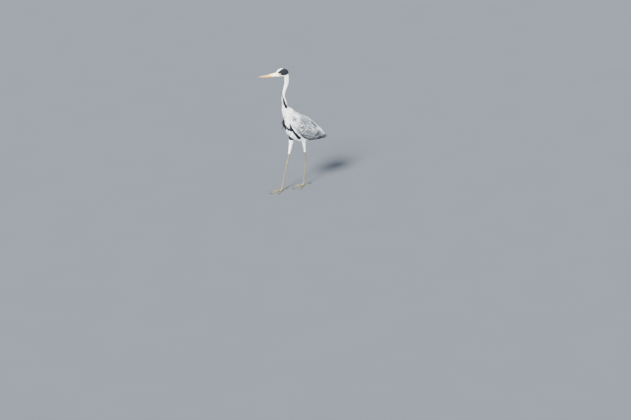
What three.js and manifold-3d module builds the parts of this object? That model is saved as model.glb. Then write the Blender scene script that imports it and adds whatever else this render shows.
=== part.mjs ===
// A grey heron, Ardea cinerea, at life size: a still model of an adult that wades with its right leg
// forward, its trunk sloping down to the tail, its neck in an open S and its head turned to its right.
//
// Millimetres, +Z up. The bird faces -Y, its left side is +X, and the floor under its feet is Z = 0.
// The origin is the middle of the bird's box, at floor level.

import * as THREE from "three";
import { mergeVertices } from "three/addons/utils/BufferGeometryUtils.js";
import Module from "manifold-3d";

const wasm = await Module();
wasm.setup();

// ---------------------------------------------------------------- driving sizes

const GAP = 0.3; // clearance kept between two pieces that meet
const HALF_GAP = GAP / 2;

const TRUNK_SLOPE = THREE.MathUtils.degToRad(40); // how far the back slopes down towards the tail
const TRUNK_HEIGHT = 400; // height of the trunk's middle above the floor

const HEAD = { forward: 124, left: 4, up: 769 }; // middle of the skull
const HEAD_TURN = THREE.MathUtils.degToRad(40); // head turned to the bird's right
const HEAD_DROOP = THREE.MathUtils.degToRad(7.5); // bill tip held a little below level
const BILL_BASE = 38; // from the middle of the skull to where the feathers end
const BILL_TIP = 157; // from the middle of the skull to the bill's tip
const GAPE = { from: -9.2, to: -6 }; // height of the line between the two halves of the bill
const EYE = { forward: 13, left: 13.6, up: -1, radius: 6.8 };

const NECK_CUTS = { upper: 684, lower: 606 }; // heights where the neck is parted into three lengths

const FEATHERS_END = 222; // height where the feathered part of the leg ends
const FOOT_JOINT = 13; // height of the joint that carries the toes
const FOOT_BALL = { radius: 8, flatten: 0.92 };

// ---------------------------------------------------------------- places

// A point of the standing bird, from distances forward, to the bird's left and up.
const at = (forward, left, up) => new THREE.Vector3(left, -forward, up);

// A point of the trunk, from distances towards the tail, towards the back and to the bird's left.
function inTrunk(tailward, backward, left) {
  const forward = -tailward * Math.cos(TRUNK_SLOPE) - backward * Math.sin(TRUNK_SLOPE);
  const up = -tailward * Math.sin(TRUNK_SLOPE) + backward * Math.cos(TRUNK_SLOPE);
  return at(forward, left, TRUNK_HEIGHT + up);
}

// ---------------------------------------------------------------- surfaces

// Rows of named sizes with `steps` smooth steps between each two, by a Catmull-Rom spline.
function smoothRows(rows, steps) {
  const made = [];
  const last = rows.length - 1;
  for (let i = 0; i < last; i++) {
    const [a, b, c, d] = [Math.max(i - 1, 0), i, i + 1, Math.min(i + 2, last)].map((k) => rows[k]);
    for (let step = 0; step < steps; step++) {
      const t = step / steps;
      const row = {};
      for (const key of Object.keys(b)) {
        const slope = c[key] - a[key];
        const next = d[key] - b[key];
        const jump = c[key] - b[key];
        const bend = 3 * jump - slope - next / 2;
        const twist = slope / 2 + next / 2 - 2 * jump;
        row[key] = b[key] + t * (slope / 2 + t * (bend + t * twist));
      }
      made.push(row);
    }
  }
  made.push({ ...rows[last] });
  return made;
}

// One closed surface over a row of loops of points, its two ends closed by fans.
function skinOver(loops) {
  const around = loops[0].length;
  const points = loops.flat();
  const faces = [];
  for (let i = 0; i + 1 < loops.length; i++) {
    for (let j = 0; j < around; j++) {
      const [a, b] = [i * around + j, i * around + ((j + 1) % around)];
      faces.push(a, b, b + around, a, b + around, a + around);
    }
  }
  for (const end of [0, loops.length - 1]) {
    const middle = points.length;
    points.push(loops[end].reduce((sum, p) => sum.add(p), new THREE.Vector3()).divideScalar(around));
    for (let j = 0; j < around; j++) {
      const [a, b] = [end * around + j, end * around + ((j + 1) % around)];
      faces.push(...(end === 0 ? [middle, b, a] : [middle, a, b]));
    }
  }
  const geometry = new THREE.BufferGeometry().setFromPoints(points);
  geometry.setIndex(faces);
  return facingOut(geometry);
}

// The same geometry with its faces turned to point outwards.
function facingOut(geometry) {
  const position = geometry.getAttribute("position");
  const index = geometry.getIndex().array;
  const [a, b, c] = [0, 1, 2].map(() => new THREE.Vector3());
  let volume = 0;
  for (let i = 0; i < index.length; i += 3) {
    a.fromBufferAttribute(position, index[i]);
    b.fromBufferAttribute(position, index[i + 1]);
    c.fromBufferAttribute(position, index[i + 2]);
    volume += a.dot(b.cross(c));
  }
  if (volume < 0) {
    for (let i = 0; i < index.length; i += 3) [index[i + 1], index[i + 2]] = [index[i + 2], index[i + 1]];
  }
  return geometry;
}

// An oval body along a path. Each row gives a point of the path, its half width, and how far it reaches
// towards the back and towards the belly. `grow` makes it fatter all round, to cut its neighbours with.
// `flatSided` turns the loops by half a side, so that the body has a flat strip along its belly.
function ovalBody(rows, place, { sides = 20, steps = 2, grow = 0, flatSided = false } = {}) {
  const path = smoothRows(rows, steps).map((row) => ({ ...row, middle: place(row) }));
  const leftward = new THREE.Vector3(1, 0, 0);
  const loops = path.map((row, i) => {
    const before = path[Math.max(i - 1, 0)].middle;
    const after = path[Math.min(i + 1, path.length - 1)].middle;
    const along = after.clone().sub(before).normalize();
    const across = leftward.clone().addScaledVector(along, -leftward.dot(along)).normalize();
    const dorsal = across.clone().cross(along);
    const middle = row.middle.clone();
    if (i === 0) middle.addScaledVector(along, -grow);
    if (i === path.length - 1) middle.addScaledVector(along, grow);
    return Array.from({ length: sides }, (_, j) => {
      const turn = ((flatSided ? j + 0.5 : j) / sides) * 2 * Math.PI;
      const reach = Math.sin(turn) > 0 ? row.back : row.belly;
      return middle
        .clone()
        .addScaledVector(across, (row.width + grow) * Math.cos(turn))
        .addScaledVector(dorsal, (reach + grow) * Math.sin(turn));
    });
  });
  return skinOver(loops);
}

// A layer of plumage over one side of the trunk, or across its back. Each row gives the oval that the
// outside follows, and the two angles, from the ridge of the back, between which the layer lies.
function plumageLayer(rows, { edge, columns, steps, grow = 0 }) {
  const loops = smoothRows(rows, steps).map((row) => {
    const point = (turn, depth) => {
      const reach = Math.cos(turn) > 0 ? row.back : row.belly;
      return inTrunk(
        row.tailward,
        row.middle + (reach - depth) * Math.cos(turn),
        (row.width - depth) * Math.sin(turn),
      );
    };
    const shares = Array.from({ length: columns + 1 }, (_, j) => j / columns);
    const margin = grow / row.width;
    const start = THREE.MathUtils.degToRad(row.from) - margin;
    const end = THREE.MathUtils.degToRad(row.to) + margin;
    const angle = (share) => THREE.MathUtils.lerp(start, end, share);
    const depthAt = (share) => edge + (row.thick - edge) * Math.sqrt(Math.sin(Math.PI * share));
    const outer = shares.map((share) => point(angle(share), -grow));
    const inner = shares.map((share) => point(angle(share), depthAt(share) + grow)).reverse();
    return [...outer, ...inner];
  });
  return skinOver(loops);
}

// The mirror image of a piece of plumage, from the bird's left side to its right.
const mirrored = (geometry) => facingOut(geometry.clone().scale(-1, 1, 1));

// The same geometry with every point that is nearly at floor level set exactly on the floor.
function restingFlat(geometry) {
  const position = geometry.getAttribute("position");
  for (let i = 0; i < position.count; i++) {
    if (position.getZ(i) < 0.2) position.setZ(i, 0);
  }
  return geometry;
}

// ---------------------------------------------------------------- solids

// A geometry as a solid, for joining and cutting.
function solidOf(geometry) {
  const bare = new THREE.BufferGeometry().setAttribute("position", geometry.getAttribute("position"));
  bare.setIndex(geometry.getIndex());
  const merged = mergeVertices(bare, 1e-4);
  return new wasm.Manifold(
    new wasm.Mesh({
      numProp: 3,
      vertProperties: new Float32Array(merged.getAttribute("position").array),
      triVerts: new Uint32Array(merged.getIndex().array),
    }),
  );
}

// A solid's largest body as a geometry again, without the crumbs that a cut can leave.
function geometryOf(solid) {
  const bodies = solid.decompose().sort((a, b) => b.volume() - a.volume());
  const mesh = bodies[0].getMesh();
  const positions = new Float32Array(mesh.numVert * 3);
  for (let i = 0; i < mesh.numVert; i++) {
    positions.set(mesh.vertProperties.subarray(i * mesh.numProp, i * mesh.numProp + 3), i * 3);
  }
  const geometry = new THREE.BufferGeometry();
  geometry.setAttribute("position", new THREE.BufferAttribute(positions, 3));
  geometry.setIndex(new THREE.BufferAttribute(new Uint32Array(mesh.triVerts), 1));
  geometry.computeVertexNormals();
  return geometry;
}

// What is left of a solid on the side of a plane that its normal points to, less half the gap.
function beyond(solid, point, normal) {
  const unit = normal.clone().normalize();
  return solid.trimByPlane([unit.x, unit.y, unit.z], unit.dot(point) + HALF_GAP);
}

// A solid less each of its neighbours, which have been grown by the gap.
function without(solid, ...neighbours) {
  return neighbours.reduce((rest, neighbour) => rest.subtract(neighbour), solid);
}

// ---------------------------------------------------------------- finishes

const finish = (color, roughness) => new THREE.MeshStandardMaterial({ color, roughness, metalness: 0 });
const WHITE_PLUMAGE = finish(0xe8e7e3, 0.85);
const GREY_PLUMAGE = finish(0xb4b8bd, 0.82);
const PALE_PLUMES = finish(0xcfd1d3, 0.8);
const BLACK_PLUMAGE = finish(0x22252b, 0.7);
const FLIGHT_FEATHERS = finish(0x3a3e45, 0.7);
const BILL_HORN = finish(0xd9a650, 0.4);
const LEG_SKIN = finish(0xa79c78, 0.55);
const CLAW_HORN = finish(0x3b352e, 0.45);
const EYE_GLOSS = finish(0xe0b93a, 0.1);

const heron = new THREE.Group();
const head = new THREE.Group();
head.position.copy(at(HEAD.forward, HEAD.left, HEAD.up));
head.rotation.order = "ZXY";
head.rotation.z = -HEAD_TURN;
head.rotation.x = HEAD_DROOP;
heron.add(head);
head.updateMatrix();

function piece(name, shape, material, parent = heron) {
  const mesh = new THREE.Mesh(shape.isBufferGeometry ? shape : geometryOf(shape), material);
  mesh.name = name;
  parent.add(mesh);
}

// ---------------------------------------------------------------- trunk

const TRUNK_ROWS = [
  { tailward: -110, middle: 4, width: 9, back: 9, belly: 8 },
  { tailward: -101, middle: 1, width: 24, back: 25, belly: 21 },
  { tailward: -76, middle: -3, width: 40, back: 42, belly: 39 },
  { tailward: -45, middle: -10, width: 53, back: 53, belly: 54 },
  { tailward: 0, middle: -15, width: 61, back: 66, belly: 70 },
  { tailward: 45, middle: -13, width: 58, back: 71, belly: 68 },
  { tailward: 90, middle: -2, width: 48, back: 60, belly: 52 },
  { tailward: 135, middle: 13, width: 33, back: 38, belly: 34 },
  { tailward: 170, middle: 24, width: 19, back: 20, belly: 22 },
  { tailward: 188, middle: 28, width: 8, back: 8, belly: 9 },
];
const trunkShape = (grow) =>
  solidOf(ovalBody(TRUNK_ROWS, (row) => inTrunk(row.tailward, row.middle, 0), { sides: 16, grow }));
const trunkCutter = trunkShape(GAP);
piece("trunk", trunkShape(0), WHITE_PLUMAGE);

// ---------------------------------------------------------------- head, in the head's own frame

const alongHead = (row) => at(row.forward, 0, row.up);

const SKULL_ROWS = [
  { forward: 48, up: -8, width: 10.4, back: 11.5, belly: 12 },
  { forward: 31, up: -5, width: 13.3, back: 16.5, belly: 16 },
  { forward: 18, up: -1.5, width: 17.5, back: 22, belly: 19.5 },
  { forward: 2, up: 0, width: 20.5, back: 27, belly: 21.5 },
  { forward: -17, up: -1, width: 19.5, back: 23, belly: 21 },
  { forward: -31, up: -3, width: 14, back: 15, belly: 14 },
  { forward: -37, up: -4, width: 7, back: 7, belly: 8 },
];
const skull = (grow) => solidOf(ovalBody(SKULL_ROWS, alongHead, { sides: 16, grow }));

const BILL_ROWS = [
  { forward: BILL_TIP, up: -6.2, width: 0.9, back: 0.8, belly: 0.8 },
  { forward: BILL_TIP - 10, up: -6.7, width: 1.9, back: 2.1, belly: 2.1 },
  { forward: BILL_TIP - 38, up: -8, width: 4.2, back: 4.8, belly: 5.2 },
  { forward: BILL_TIP - 74, up: -8.6, width: 6.8, back: 8.2, belly: 8.4 },
  { forward: BILL_BASE + 16, up: -8.3, width: 9.2, back: 11.1, belly: 11 },
  { forward: BILL_BASE - 8, up: -7.2, width: 10.6, back: 13, belly: 12.4 },
];
const bill = solidOf(ovalBody(BILL_ROWS, alongHead, { sides: 12 }));

const billRoot = at(BILL_BASE, 0, 0);
const forwardAxis = at(1, 0, 0);
const gapeStart = at(BILL_BASE, 0, GAPE.from);
const gapeUp = at(GAPE.from - GAPE.to, 0, BILL_TIP - BILL_BASE);
const bareBill = beyond(bill, billRoot, forwardAxis);
piece("bill_upper", beyond(bareBill, gapeStart, gapeUp), BILL_HORN, head);
piece("bill_lower", beyond(bareBill, gapeStart, gapeUp.clone().negate()), BILL_HORN, head);

function eyeball(side, grow) {
  const middle = at(EYE.forward, side * EYE.left, EYE.up);
  return solidOf(new THREE.SphereGeometry(EYE.radius + grow, 10, 8).translate(middle.x, middle.y, middle.z));
}
let headSolid = beyond(skull(0), billRoot, forwardAxis.clone().negate());
for (const [name, side] of [["eye_left", 1], ["eye_right", -1]]) {
  piece(name, eyeball(side, 0), EYE_GLOSS, head);
  headSolid = headSolid.subtract(eyeball(side, GAP));
}
piece("head", headSolid, WHITE_PLUMAGE, head);

// ---------------------------------------------------------------- neck

const NECK_ROWS = [
  { forward: 107, left: 18, up: 764, width: 14, back: 13, belly: 14 },
  { forward: 102, left: 20, up: 734, width: 14.2, back: 14.2, belly: 14.2 },
  { forward: 101, left: 18, up: 700, width: 13, back: 13.4, belly: 13.4 },
  { forward: 109, left: 14, up: 669, width: 12.4, back: 12.8, belly: 13 },
  { forward: 118, left: 11, up: 645, width: 12, back: 12.5, belly: 12.8 },
  { forward: 119, left: 8, up: 624, width: 12.2, back: 12.8, belly: 13.4 },
  { forward: 115, left: 6, up: 603, width: 13.2, back: 14, belly: 15 },
  { forward: 104, left: 4, up: 574, width: 16.5, back: 18, belly: 18 },
  { forward: 95, left: 2, up: 545, width: 20, back: 23, belly: 21 },
  { forward: 73, left: 0, up: 501, width: 32, back: 38, belly: 26 },
  { forward: 55, left: 0, up: 458, width: 42, back: 42, belly: 36 },
];
const neckShape = (grow) =>
  solidOf(ovalBody(NECK_ROWS, (row) => at(row.forward, row.left, row.up), { sides: 16, grow }));
const neck = neckShape(0);
const neckCutter = neckShape(GAP);
const skullCutter = skull(GAP).transform(head.matrix.toArray());
const up = at(0, 0, 1);
const [upperCut, lowerCut] = [at(0, 0, NECK_CUTS.upper), at(0, 0, NECK_CUTS.lower)];
piece("neck_upper", beyond(neck, upperCut, up).subtract(skullCutter), WHITE_PLUMAGE);
piece("neck_middle", beyond(beyond(neck, lowerCut, up), upperCut, up.clone().negate()), WHITE_PLUMAGE);
piece("neck_lower", beyond(neck, lowerCut, up.clone().negate()).subtract(trunkCutter), WHITE_PLUMAGE);

// ---------------------------------------------------------------- nape plumes

// Two narrow black plumes that hang from the nape, close behind the neck.
const PLUME_LENGTH = 84;
const neckInHead = neckCutter.transform(head.matrix.clone().invert().toArray());
for (const [name, side] of [["nape_plume_left", 1], ["nape_plume_right", -1]]) {
  const rows = [0, 0.25, 0.5, 0.75, 1].map((share) => ({
    share,
    width: 0.8 + 2 * Math.sin(Math.PI * (0.15 + 0.85 * share)) * (1 - 0.4 * share),
    back: 0.7,
    belly: 0.7,
  }));
  const hang = ({ share }) =>
    at(-38 - 2 * share, side * (3 + 2 * share), 2 - PLUME_LENGTH * share);
  const plume = solidOf(ovalBody(rows, hang, { sides: 6, steps: 1 }));
  piece(name, without(plume, skull(GAP), neckInHead), BLACK_PLUMAGE, head);
}

// ---------------------------------------------------------------- tail

const TAIL_ROWS = [
  { tailward: 148, middle: 20, width: 12, back: 7, belly: 7 },
  { tailward: 185, middle: 28, width: 18, back: 4.5, belly: 4.5 },
  { tailward: 230, middle: 38, width: 21, back: 2.6, belly: 2.6 },
  { tailward: 264, middle: 45, width: 20, back: 1.6, belly: 1.6 },
  { tailward: 275, middle: 47, width: 13, back: 1, belly: 1 },
];
const tailShape = (grow) =>
  solidOf(ovalBody(TAIL_ROWS, (row) => inTrunk(row.tailward, row.middle, 0), { sides: 10, grow }));
piece("tail", tailShape(0).subtract(trunkCutter), GREY_PLUMAGE);
const tailCutter = tailShape(GAP);

// ---------------------------------------------------------------- wings

const WING_ROWS = [
  { tailward: -92, middle: -8, width: 37, back: 33, belly: 36, from: 78, to: 96, thick: 5 },
  { tailward: -80, middle: -8, width: 45, back: 42, belly: 46, from: 66, to: 101, thick: 9 },
  { tailward: -58, middle: -11, width: 57, back: 57, belly: 62, from: 50, to: 106, thick: 14 },
  { tailward: -26, middle: -15, width: 69, back: 71, belly: 82, from: 38, to: 110, thick: 16 },
  { tailward: 15, middle: -15, width: 75, back: 80, belly: 86, from: 28, to: 114, thick: 16 },
  { tailward: 65, middle: -8, width: 70, back: 80, belly: 78, from: 24, to: 118, thick: 16 },
  { tailward: 110, middle: 3, width: 59, back: 66, belly: 62, from: 20, to: 120, thick: 15 },
  { tailward: 155, middle: 18, width: 45, back: 46, belly: 46, from: 16, to: 118, thick: 12 },
  { tailward: 198, middle: 31, width: 32, back: 30, belly: 32, from: 14, to: 122, thick: 9 },
  { tailward: 236, middle: 41, width: 23, back: 20, belly: 26, from: 16, to: 126, thick: 6 },
  { tailward: 264, middle: 48, width: 14, back: 11, belly: 20, from: 24, to: 110, thick: 4 },
];
const WING_LAYER = { edge: 3.2, columns: 5, steps: 2 };
const TIP_CUT = inTrunk(206, 30, 0); // where the folded flight feathers show past the wing
const tipward = inTrunk(1, 0.5, 0).sub(inTrunk(0, 0, 0));
const wingGeometry = plumageLayer(WING_ROWS, WING_LAYER);
const grownWing = plumageLayer(WING_ROWS, { ...WING_LAYER, grow: GAP });
const wingCutters = [solidOf(grownWing), solidOf(mirrored(grownWing))];
for (const side of ["left", "right"]) {
  const shape = side === "left" ? wingGeometry : mirrored(wingGeometry);
  const wing = without(solidOf(shape), trunkCutter, neckCutter, tailCutter);
  piece(`wing_${side}`, beyond(wing, TIP_CUT, tipward.clone().negate()), GREY_PLUMAGE);
  piece(`wing_tip_${side}`, beyond(wing, TIP_CUT, tipward), FLIGHT_FEATHERS);
}

// The cape of long grey plumes over the shoulders and back, which lies over both wings.
const CAPE_ROWS = [
  { tailward: -112, middle: 6, width: 34, back: 46, belly: 40, from: -58, to: 58, thick: 24 },
  { tailward: -88, middle: -2, width: 54, back: 60, belly: 40, from: -62, to: 62, thick: 24 },
  { tailward: -50, middle: -10, width: 70, back: 75, belly: 40, from: -58, to: 58, thick: 24 },
  { tailward: 0, middle: -15, width: 77, back: 88, belly: 40, from: -52, to: 52, thick: 24 },
  { tailward: 50, middle: -10, width: 75, back: 89, belly: 40, from: -44, to: 44, thick: 24 },
  { tailward: 100, middle: 2, width: 64, back: 74, belly: 40, from: -36, to: 36, thick: 24 },
  { tailward: 145, middle: 16, width: 50, back: 55, belly: 40, from: -30, to: 30, thick: 20 },
  { tailward: 190, middle: 29, width: 36, back: 38, belly: 30, from: -22, to: 22, thick: 16 },
];
const CAPE_LAYER = { edge: 9, columns: 7, steps: 1 };
const cape = solidOf(plumageLayer(CAPE_ROWS, CAPE_LAYER));
const capeCutter = solidOf(plumageLayer(CAPE_ROWS, { ...CAPE_LAYER, grow: GAP }));
piece("cape", without(cape, trunkCutter, neckCutter, tailCutter, ...wingCutters), PALE_PLUMES);

// ---------------------------------------------------------------- breast

// Long white plumes that hang from the lower neck over the breast.
const BREAST_ROWS = [
  { forward: 104, up: 570, width: 10, back: 7, belly: 12 },
  { forward: 99, up: 542, width: 19, back: 12, belly: 17 },
  { forward: 83, up: 500, width: 30, back: 18, belly: 24 },
  { forward: 71, up: 455, width: 36, back: 22, belly: 26 },
  { forward: 66, up: 417, width: 33, back: 22, belly: 25 },
  { forward: 60, up: 383, width: 24, back: 20, belly: 21 },
  { forward: 56, up: 358, width: 7, back: 8, belly: 9 },
];
const breast = solidOf(ovalBody(BREAST_ROWS, (row) => at(row.forward, 0, row.up), { sides: 12 }));
const breastPlumes = without(breast, trunkCutter, neckCutter, ...wingCutters, capeCutter);
piece("breast_plumes", breastPlumes, WHITE_PLUMAGE);

// ---------------------------------------------------------------- legs

// Places down each leg: hip inside the trunk, end of the feathers, ankle, joint of the toes.
const LEGS = {
  left: {
    hip: at(-18, 32, 345),
    feathers: at(-45, 19, FEATHERS_END),
    ankle: at(-56, 16, 165),
    foot: at(-40, 11, FOOT_JOINT),
  },
  right: {
    hip: at(12, -30, 345),
    feathers: at(52, -17, FEATHERS_END),
    ankle: at(70, -15, 165),
    foot: at(116, -13, FOOT_JOINT),
  },
};

// Toes by their turn out from straight ahead, to the bird's outside, and their lengths.
const TOES = {
  middle: { turn: 2, length: 84, thick: 3.7 },
  outer: { turn: 34, length: 70, thick: 3.3 },
  inner: { turn: -32, length: 62, thick: 3.3 },
  hind: { turn: 172, length: 44, thick: 3.4 },
};
const CLAW_LENGTH = { middle: 13, outer: 10, inner: 12, hind: 19 };
const TOE_ROOT = 5.5; // from the middle of the foot to where each toe starts, inside the ball of the foot
const TOE_SIDES = 8;
const SOLE_DEPTH = Math.cos(Math.PI / TOE_SIDES); // from a toe's middle down to its flat sole, by its radius

// A limb between two places, its rows given by their share of the way and half thickness.
function limb(from, to, rows, grow = 0) {
  const place = (row) => from.clone().lerp(to, row.share);
  const named = rows.map(([share, width, back, belly]) => ({ share, width, back, belly }));
  return solidOf(ovalBody(named, place, { sides: 10, steps: 1, grow }));
}

for (const [side, leg] of Object.entries(LEGS)) {
  const outward = side === "left" ? 1 : -1;
  const thigh = (grow) =>
    limb(leg.hip, leg.feathers, [
      [0, 21, 25, 25],
      [0.2, 17, 20, 20],
      [0.38, 12, 13.5, 13.5],
      [0.6, 7.6, 8.6, 8.6],
      [0.85, 5.4, 5.8, 5.8],
      [1, 4.8, 5, 5],
    ], grow);
  piece(`thigh_${side}`, without(thigh(0), trunkCutter, ...wingCutters), WHITE_PLUMAGE);

  const shank = limb(leg.feathers, leg.ankle, [
    [-0.12, 4.1, 4.3, 4.3],
    [0.3, 4, 4.2, 4.2],
    [0.7, 4.4, 4.8, 4.8],
    [0.92, 6.2, 7, 6.6],
    [1.04, 5.4, 6.2, 6],
  ]);
  const legLine = leg.ankle.clone().sub(leg.feathers);
  piece(`shank_${side}`, beyond(shank, leg.ankle, legLine.clone().negate()).subtract(thigh(GAP)), LEG_SKIN);

  const tarsus = limb(leg.ankle, leg.foot, [
    [-0.05, 5.4, 6.2, 6],
    [0.03, 6.3, 7.2, 6.4],
    [0.1, 4.6, 5.4, 5],
    [0.35, 3.6, 4.1, 4.1],
    [0.75, 3.8, 4, 4],
    [0.95, 5.6, 4.8, 4.8],
    [1.03, 5.4, 4.6, 4.6],
  ]);
  const ball = (grow) => {
    const round = new THREE.SphereGeometry(FOOT_BALL.radius + grow, 10, 6).scale(1, 1, FOOT_BALL.flatten);
    return solidOf(round.translate(leg.foot.x, leg.foot.y, FOOT_BALL.radius));
  };
  piece(`tarsus_${side}`, beyond(tarsus, leg.ankle, legLine).add(ball(0)), LEG_SKIN);

  const toeShape = (name, grow) => {
    const { turn, length, thick } = TOES[name];
    const angle = THREE.MathUtils.degToRad(turn) * outward;
    const way = at(Math.cos(angle), Math.sin(angle), 0);
    const knuckle = (share) => 1 + 0.1 * Math.cos(share * 5 * Math.PI);
    const rows = [0, 0.2, 0.4, 0.6, 0.8, 1].map((share) => {
      const radius = thick * (1.15 - 0.42 * share) * knuckle(share);
      return { share, width: radius, back: radius, belly: radius, lift: radius * SOLE_DEPTH };
    });
    const place = ({ share, lift }) =>
      at(-leg.foot.y, leg.foot.x, lift).addScaledVector(way, THREE.MathUtils.lerp(TOE_ROOT, length, share));
    const round = ovalBody(rows, place, { sides: TOE_SIDES, steps: 1, grow, flatSided: true });
    return { solid: solidOf(grow ? round : restingFlat(round)), way, length, end: rows[5] };
  };
  const middleToe = toeShape("middle", GAP).solid;
  for (const name of Object.keys(TOES)) {
    const toe = toeShape(name, 0);
    const tip = at(-leg.foot.y, leg.foot.x, 0).addScaledVector(toe.way, toe.length);
    const nailBed = tip.clone().addScaledVector(toe.way, -2);
    const rooted = beyond(toe.solid, nailBed, toe.way.clone().negate()).subtract(ball(GAP));
    const besideMiddle = name === "outer" || name === "inner";
    piece(`toe_${name}_${side}`, besideMiddle ? rooted.subtract(middleToe) : rooted, LEG_SKIN);

    const clawRows = [0, 0.35, 0.7, 1].map((share) => {
      const thick = 2 * (1 - share) + 0.35;
      return { share, width: 0.85 * thick, back: thick, belly: thick };
    });
    const alongClaw = ({ share }) => {
      const lift = toe.end.lift + 0.4 - 1.9 * share * share;
      return nailBed.clone().addScaledVector(toe.way, share * CLAW_LENGTH[name]).add(at(0, 0, lift));
    };
    const claw = solidOf(ovalBody(clawRows, alongClaw, { sides: 6, steps: 1 }));
    piece(`claw_${name}_${side}`, beyond(claw, nailBed, toe.way), CLAW_HORN);
  }
}

// ---------------------------------------------------------------- origin

const box = new THREE.Box3().setFromObject(heron, true);
heron.position.set(-(box.min.x + box.max.x) / 2, -(box.min.y + box.max.y) / 2, -box.min.z);

export default heron;
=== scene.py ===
# %% [markdown]
# # A grey heron, dressed over its solids
#
# The solids give the bird's size, its outline and its pose. Here they get what solids can't give: one
# continuous skin, a coat of separate feathers that lie over each other like tiles, a bill of horn, wet
# eyes with lids, and scaly legs. All lengths are metres and Z is up. The bird faces -Y, and its left
# side is +X.

# %% Load the solids
import math

import bmesh
import bpy
import numpy as np
from mathutils import Matrix, Vector
from mathutils.bvhtree import BVHTree
from mathutils.interpolate import poly_3d_calc
from mathutils.kdtree import KDTree


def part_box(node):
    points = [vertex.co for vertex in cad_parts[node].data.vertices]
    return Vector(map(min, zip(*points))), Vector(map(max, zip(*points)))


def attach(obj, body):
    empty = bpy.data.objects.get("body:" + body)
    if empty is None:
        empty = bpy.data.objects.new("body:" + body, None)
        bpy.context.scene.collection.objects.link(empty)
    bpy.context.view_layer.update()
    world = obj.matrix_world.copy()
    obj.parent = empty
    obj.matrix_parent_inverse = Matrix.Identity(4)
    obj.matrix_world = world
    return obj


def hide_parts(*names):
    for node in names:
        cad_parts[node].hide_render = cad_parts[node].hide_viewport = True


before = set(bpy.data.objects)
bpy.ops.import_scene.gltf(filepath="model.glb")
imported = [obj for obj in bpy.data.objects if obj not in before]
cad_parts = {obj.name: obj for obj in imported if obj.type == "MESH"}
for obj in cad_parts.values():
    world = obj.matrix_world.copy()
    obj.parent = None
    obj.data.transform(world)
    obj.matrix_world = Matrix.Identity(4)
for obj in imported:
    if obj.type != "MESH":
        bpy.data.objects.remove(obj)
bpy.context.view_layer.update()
scene = bpy.context.scene
chance = np.random.default_rng(7)
MM = 0.001

# %% [markdown]
# ## Camera, floor and light
#
# The bird is watched from a long way off, a little from above and from the front of its left side, so a
# long lens is used: with it the legs, the body and the head all keep their true proportions. The camera's
# place is worked out from the crown of the head, which is the bird's highest point.

# %% Camera
VIEW_TURN = math.radians(48)
VIEW_TILT = math.radians(22)
VIEW_DISTANCE = 20.0
VIEW_WIDTH = 3.786  # how much is seen from side to side at the bird
SENSOR = 36.0
CROWN_ASIDE = -0.206  # from the middle of the view to the crown
CROWN_ABOVE = 0.849


def view_axes(turn, tilt):
    back = Vector((math.sin(turn) * math.cos(tilt), -math.cos(turn) * math.cos(tilt), math.sin(tilt)))
    right = Vector((math.cos(turn), math.sin(turn), 0.0))
    return right, back.cross(right), back


def highest_point(node):
    return max((vertex.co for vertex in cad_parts[node].data.vertices), key=lambda place: place.z).copy()


right, upward, back = view_axes(VIEW_TURN, VIEW_TILT)
crown = highest_point("head")
aim = crown - right * CROWN_ASIDE - upward * CROWN_ABOVE
camera = bpy.data.objects.new("Camera", bpy.data.cameras.new("Camera"))
camera.data.sensor_width = SENSOR
camera.data.lens = SENSOR * VIEW_DISTANCE / VIEW_WIDTH
camera.data.clip_end = 200.0
facing = Matrix((right, upward, back)).transposed().to_4x4()
camera.matrix_world = Matrix.Translation(aim + back * VIEW_DISTANCE) @ facing
scene.collection.objects.link(camera)
scene.camera = camera
print("camera aims at", [round(value, 3) for value in aim])

# %% [markdown]
# A finish is a small net of nodes: noise and ramps decide where one colour passes into another. The few
# helpers below add a node in one line, so that each finish can be read from top to bottom.

# %% Helpers for materials
def new_material(name, roughness, specular=0.3):
    """A material with its nodes' tree and its main shader."""
    material = bpy.data.materials.new(name)
    material.use_nodes = True
    tree = material.node_tree
    shader = tree.nodes["Principled BSDF"]
    shader.inputs["Roughness"].default_value = roughness
    shader.inputs["Specular IOR Level"].default_value = specular
    return material, tree, shader


def plug(tree, socket, value):
    """Gives a socket a link or a value."""
    if isinstance(value, bpy.types.NodeSocket):
        tree.links.new(value, socket)
    else:
        socket.default_value = value


def add_node(tree, kind, inputs=None, **settings):
    """One node, with its settings and with values or links for its inputs."""
    node = tree.nodes.new(kind)
    for name, value in settings.items():
        setattr(node, name, value)
    for name, value in (inputs or {}).items():
        plug(tree, node.inputs[name], value)
    return node


def attribute(tree, name):
    return add_node(tree, "ShaderNodeAttribute", attribute_name=name).outputs["Fac"]


def maths(tree, operation, first, second=0.0):
    return add_node(tree, "ShaderNodeMath", {0: first, 1: second}, operation=operation).outputs["Value"]


def times(tree, first, second):
    return maths(tree, "MULTIPLY", first, second)


def plus(tree, first, second):
    return maths(tree, "ADD", first, second)


def mixed(tree, share, first, second, blend="MIX"):
    """Passes from the first colour to the second as the share goes from 0 to 1."""
    node = add_node(tree, "ShaderNodeMix", data_type="RGBA", blend_type=blend)
    for number, value in ((0, share), (6, first), (7, second)):
        plug(tree, node.inputs[number], (*value, 1.0) if isinstance(value, tuple) else value)
    return node.outputs[2]


def coloured(tree, shader, colour):
    tree.links.new(colour, shader.inputs["Base Color"])


def object_place(tree):
    return add_node(tree, "ShaderNodeTexCoord").outputs["Object"]


def noise(tree, scale, detail=3.0, roughness=0.55, place=None):
    inputs = {"Vector": place or object_place(tree), "Scale": scale, "Detail": detail, "Roughness": roughness}
    return add_node(tree, "ShaderNodeTexNoise", inputs).outputs["Fac"]


def ramp(tree, value, start, end, low=0.0, high=1.0):
    """Goes smoothly from low to high as the value goes from start to end."""
    inputs = {0: value, 1: start, 2: end, 3: low, 4: high}
    return add_node(tree, "ShaderNodeMapRange", inputs, interpolation_type="SMOOTHSTEP").outputs[0]


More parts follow.
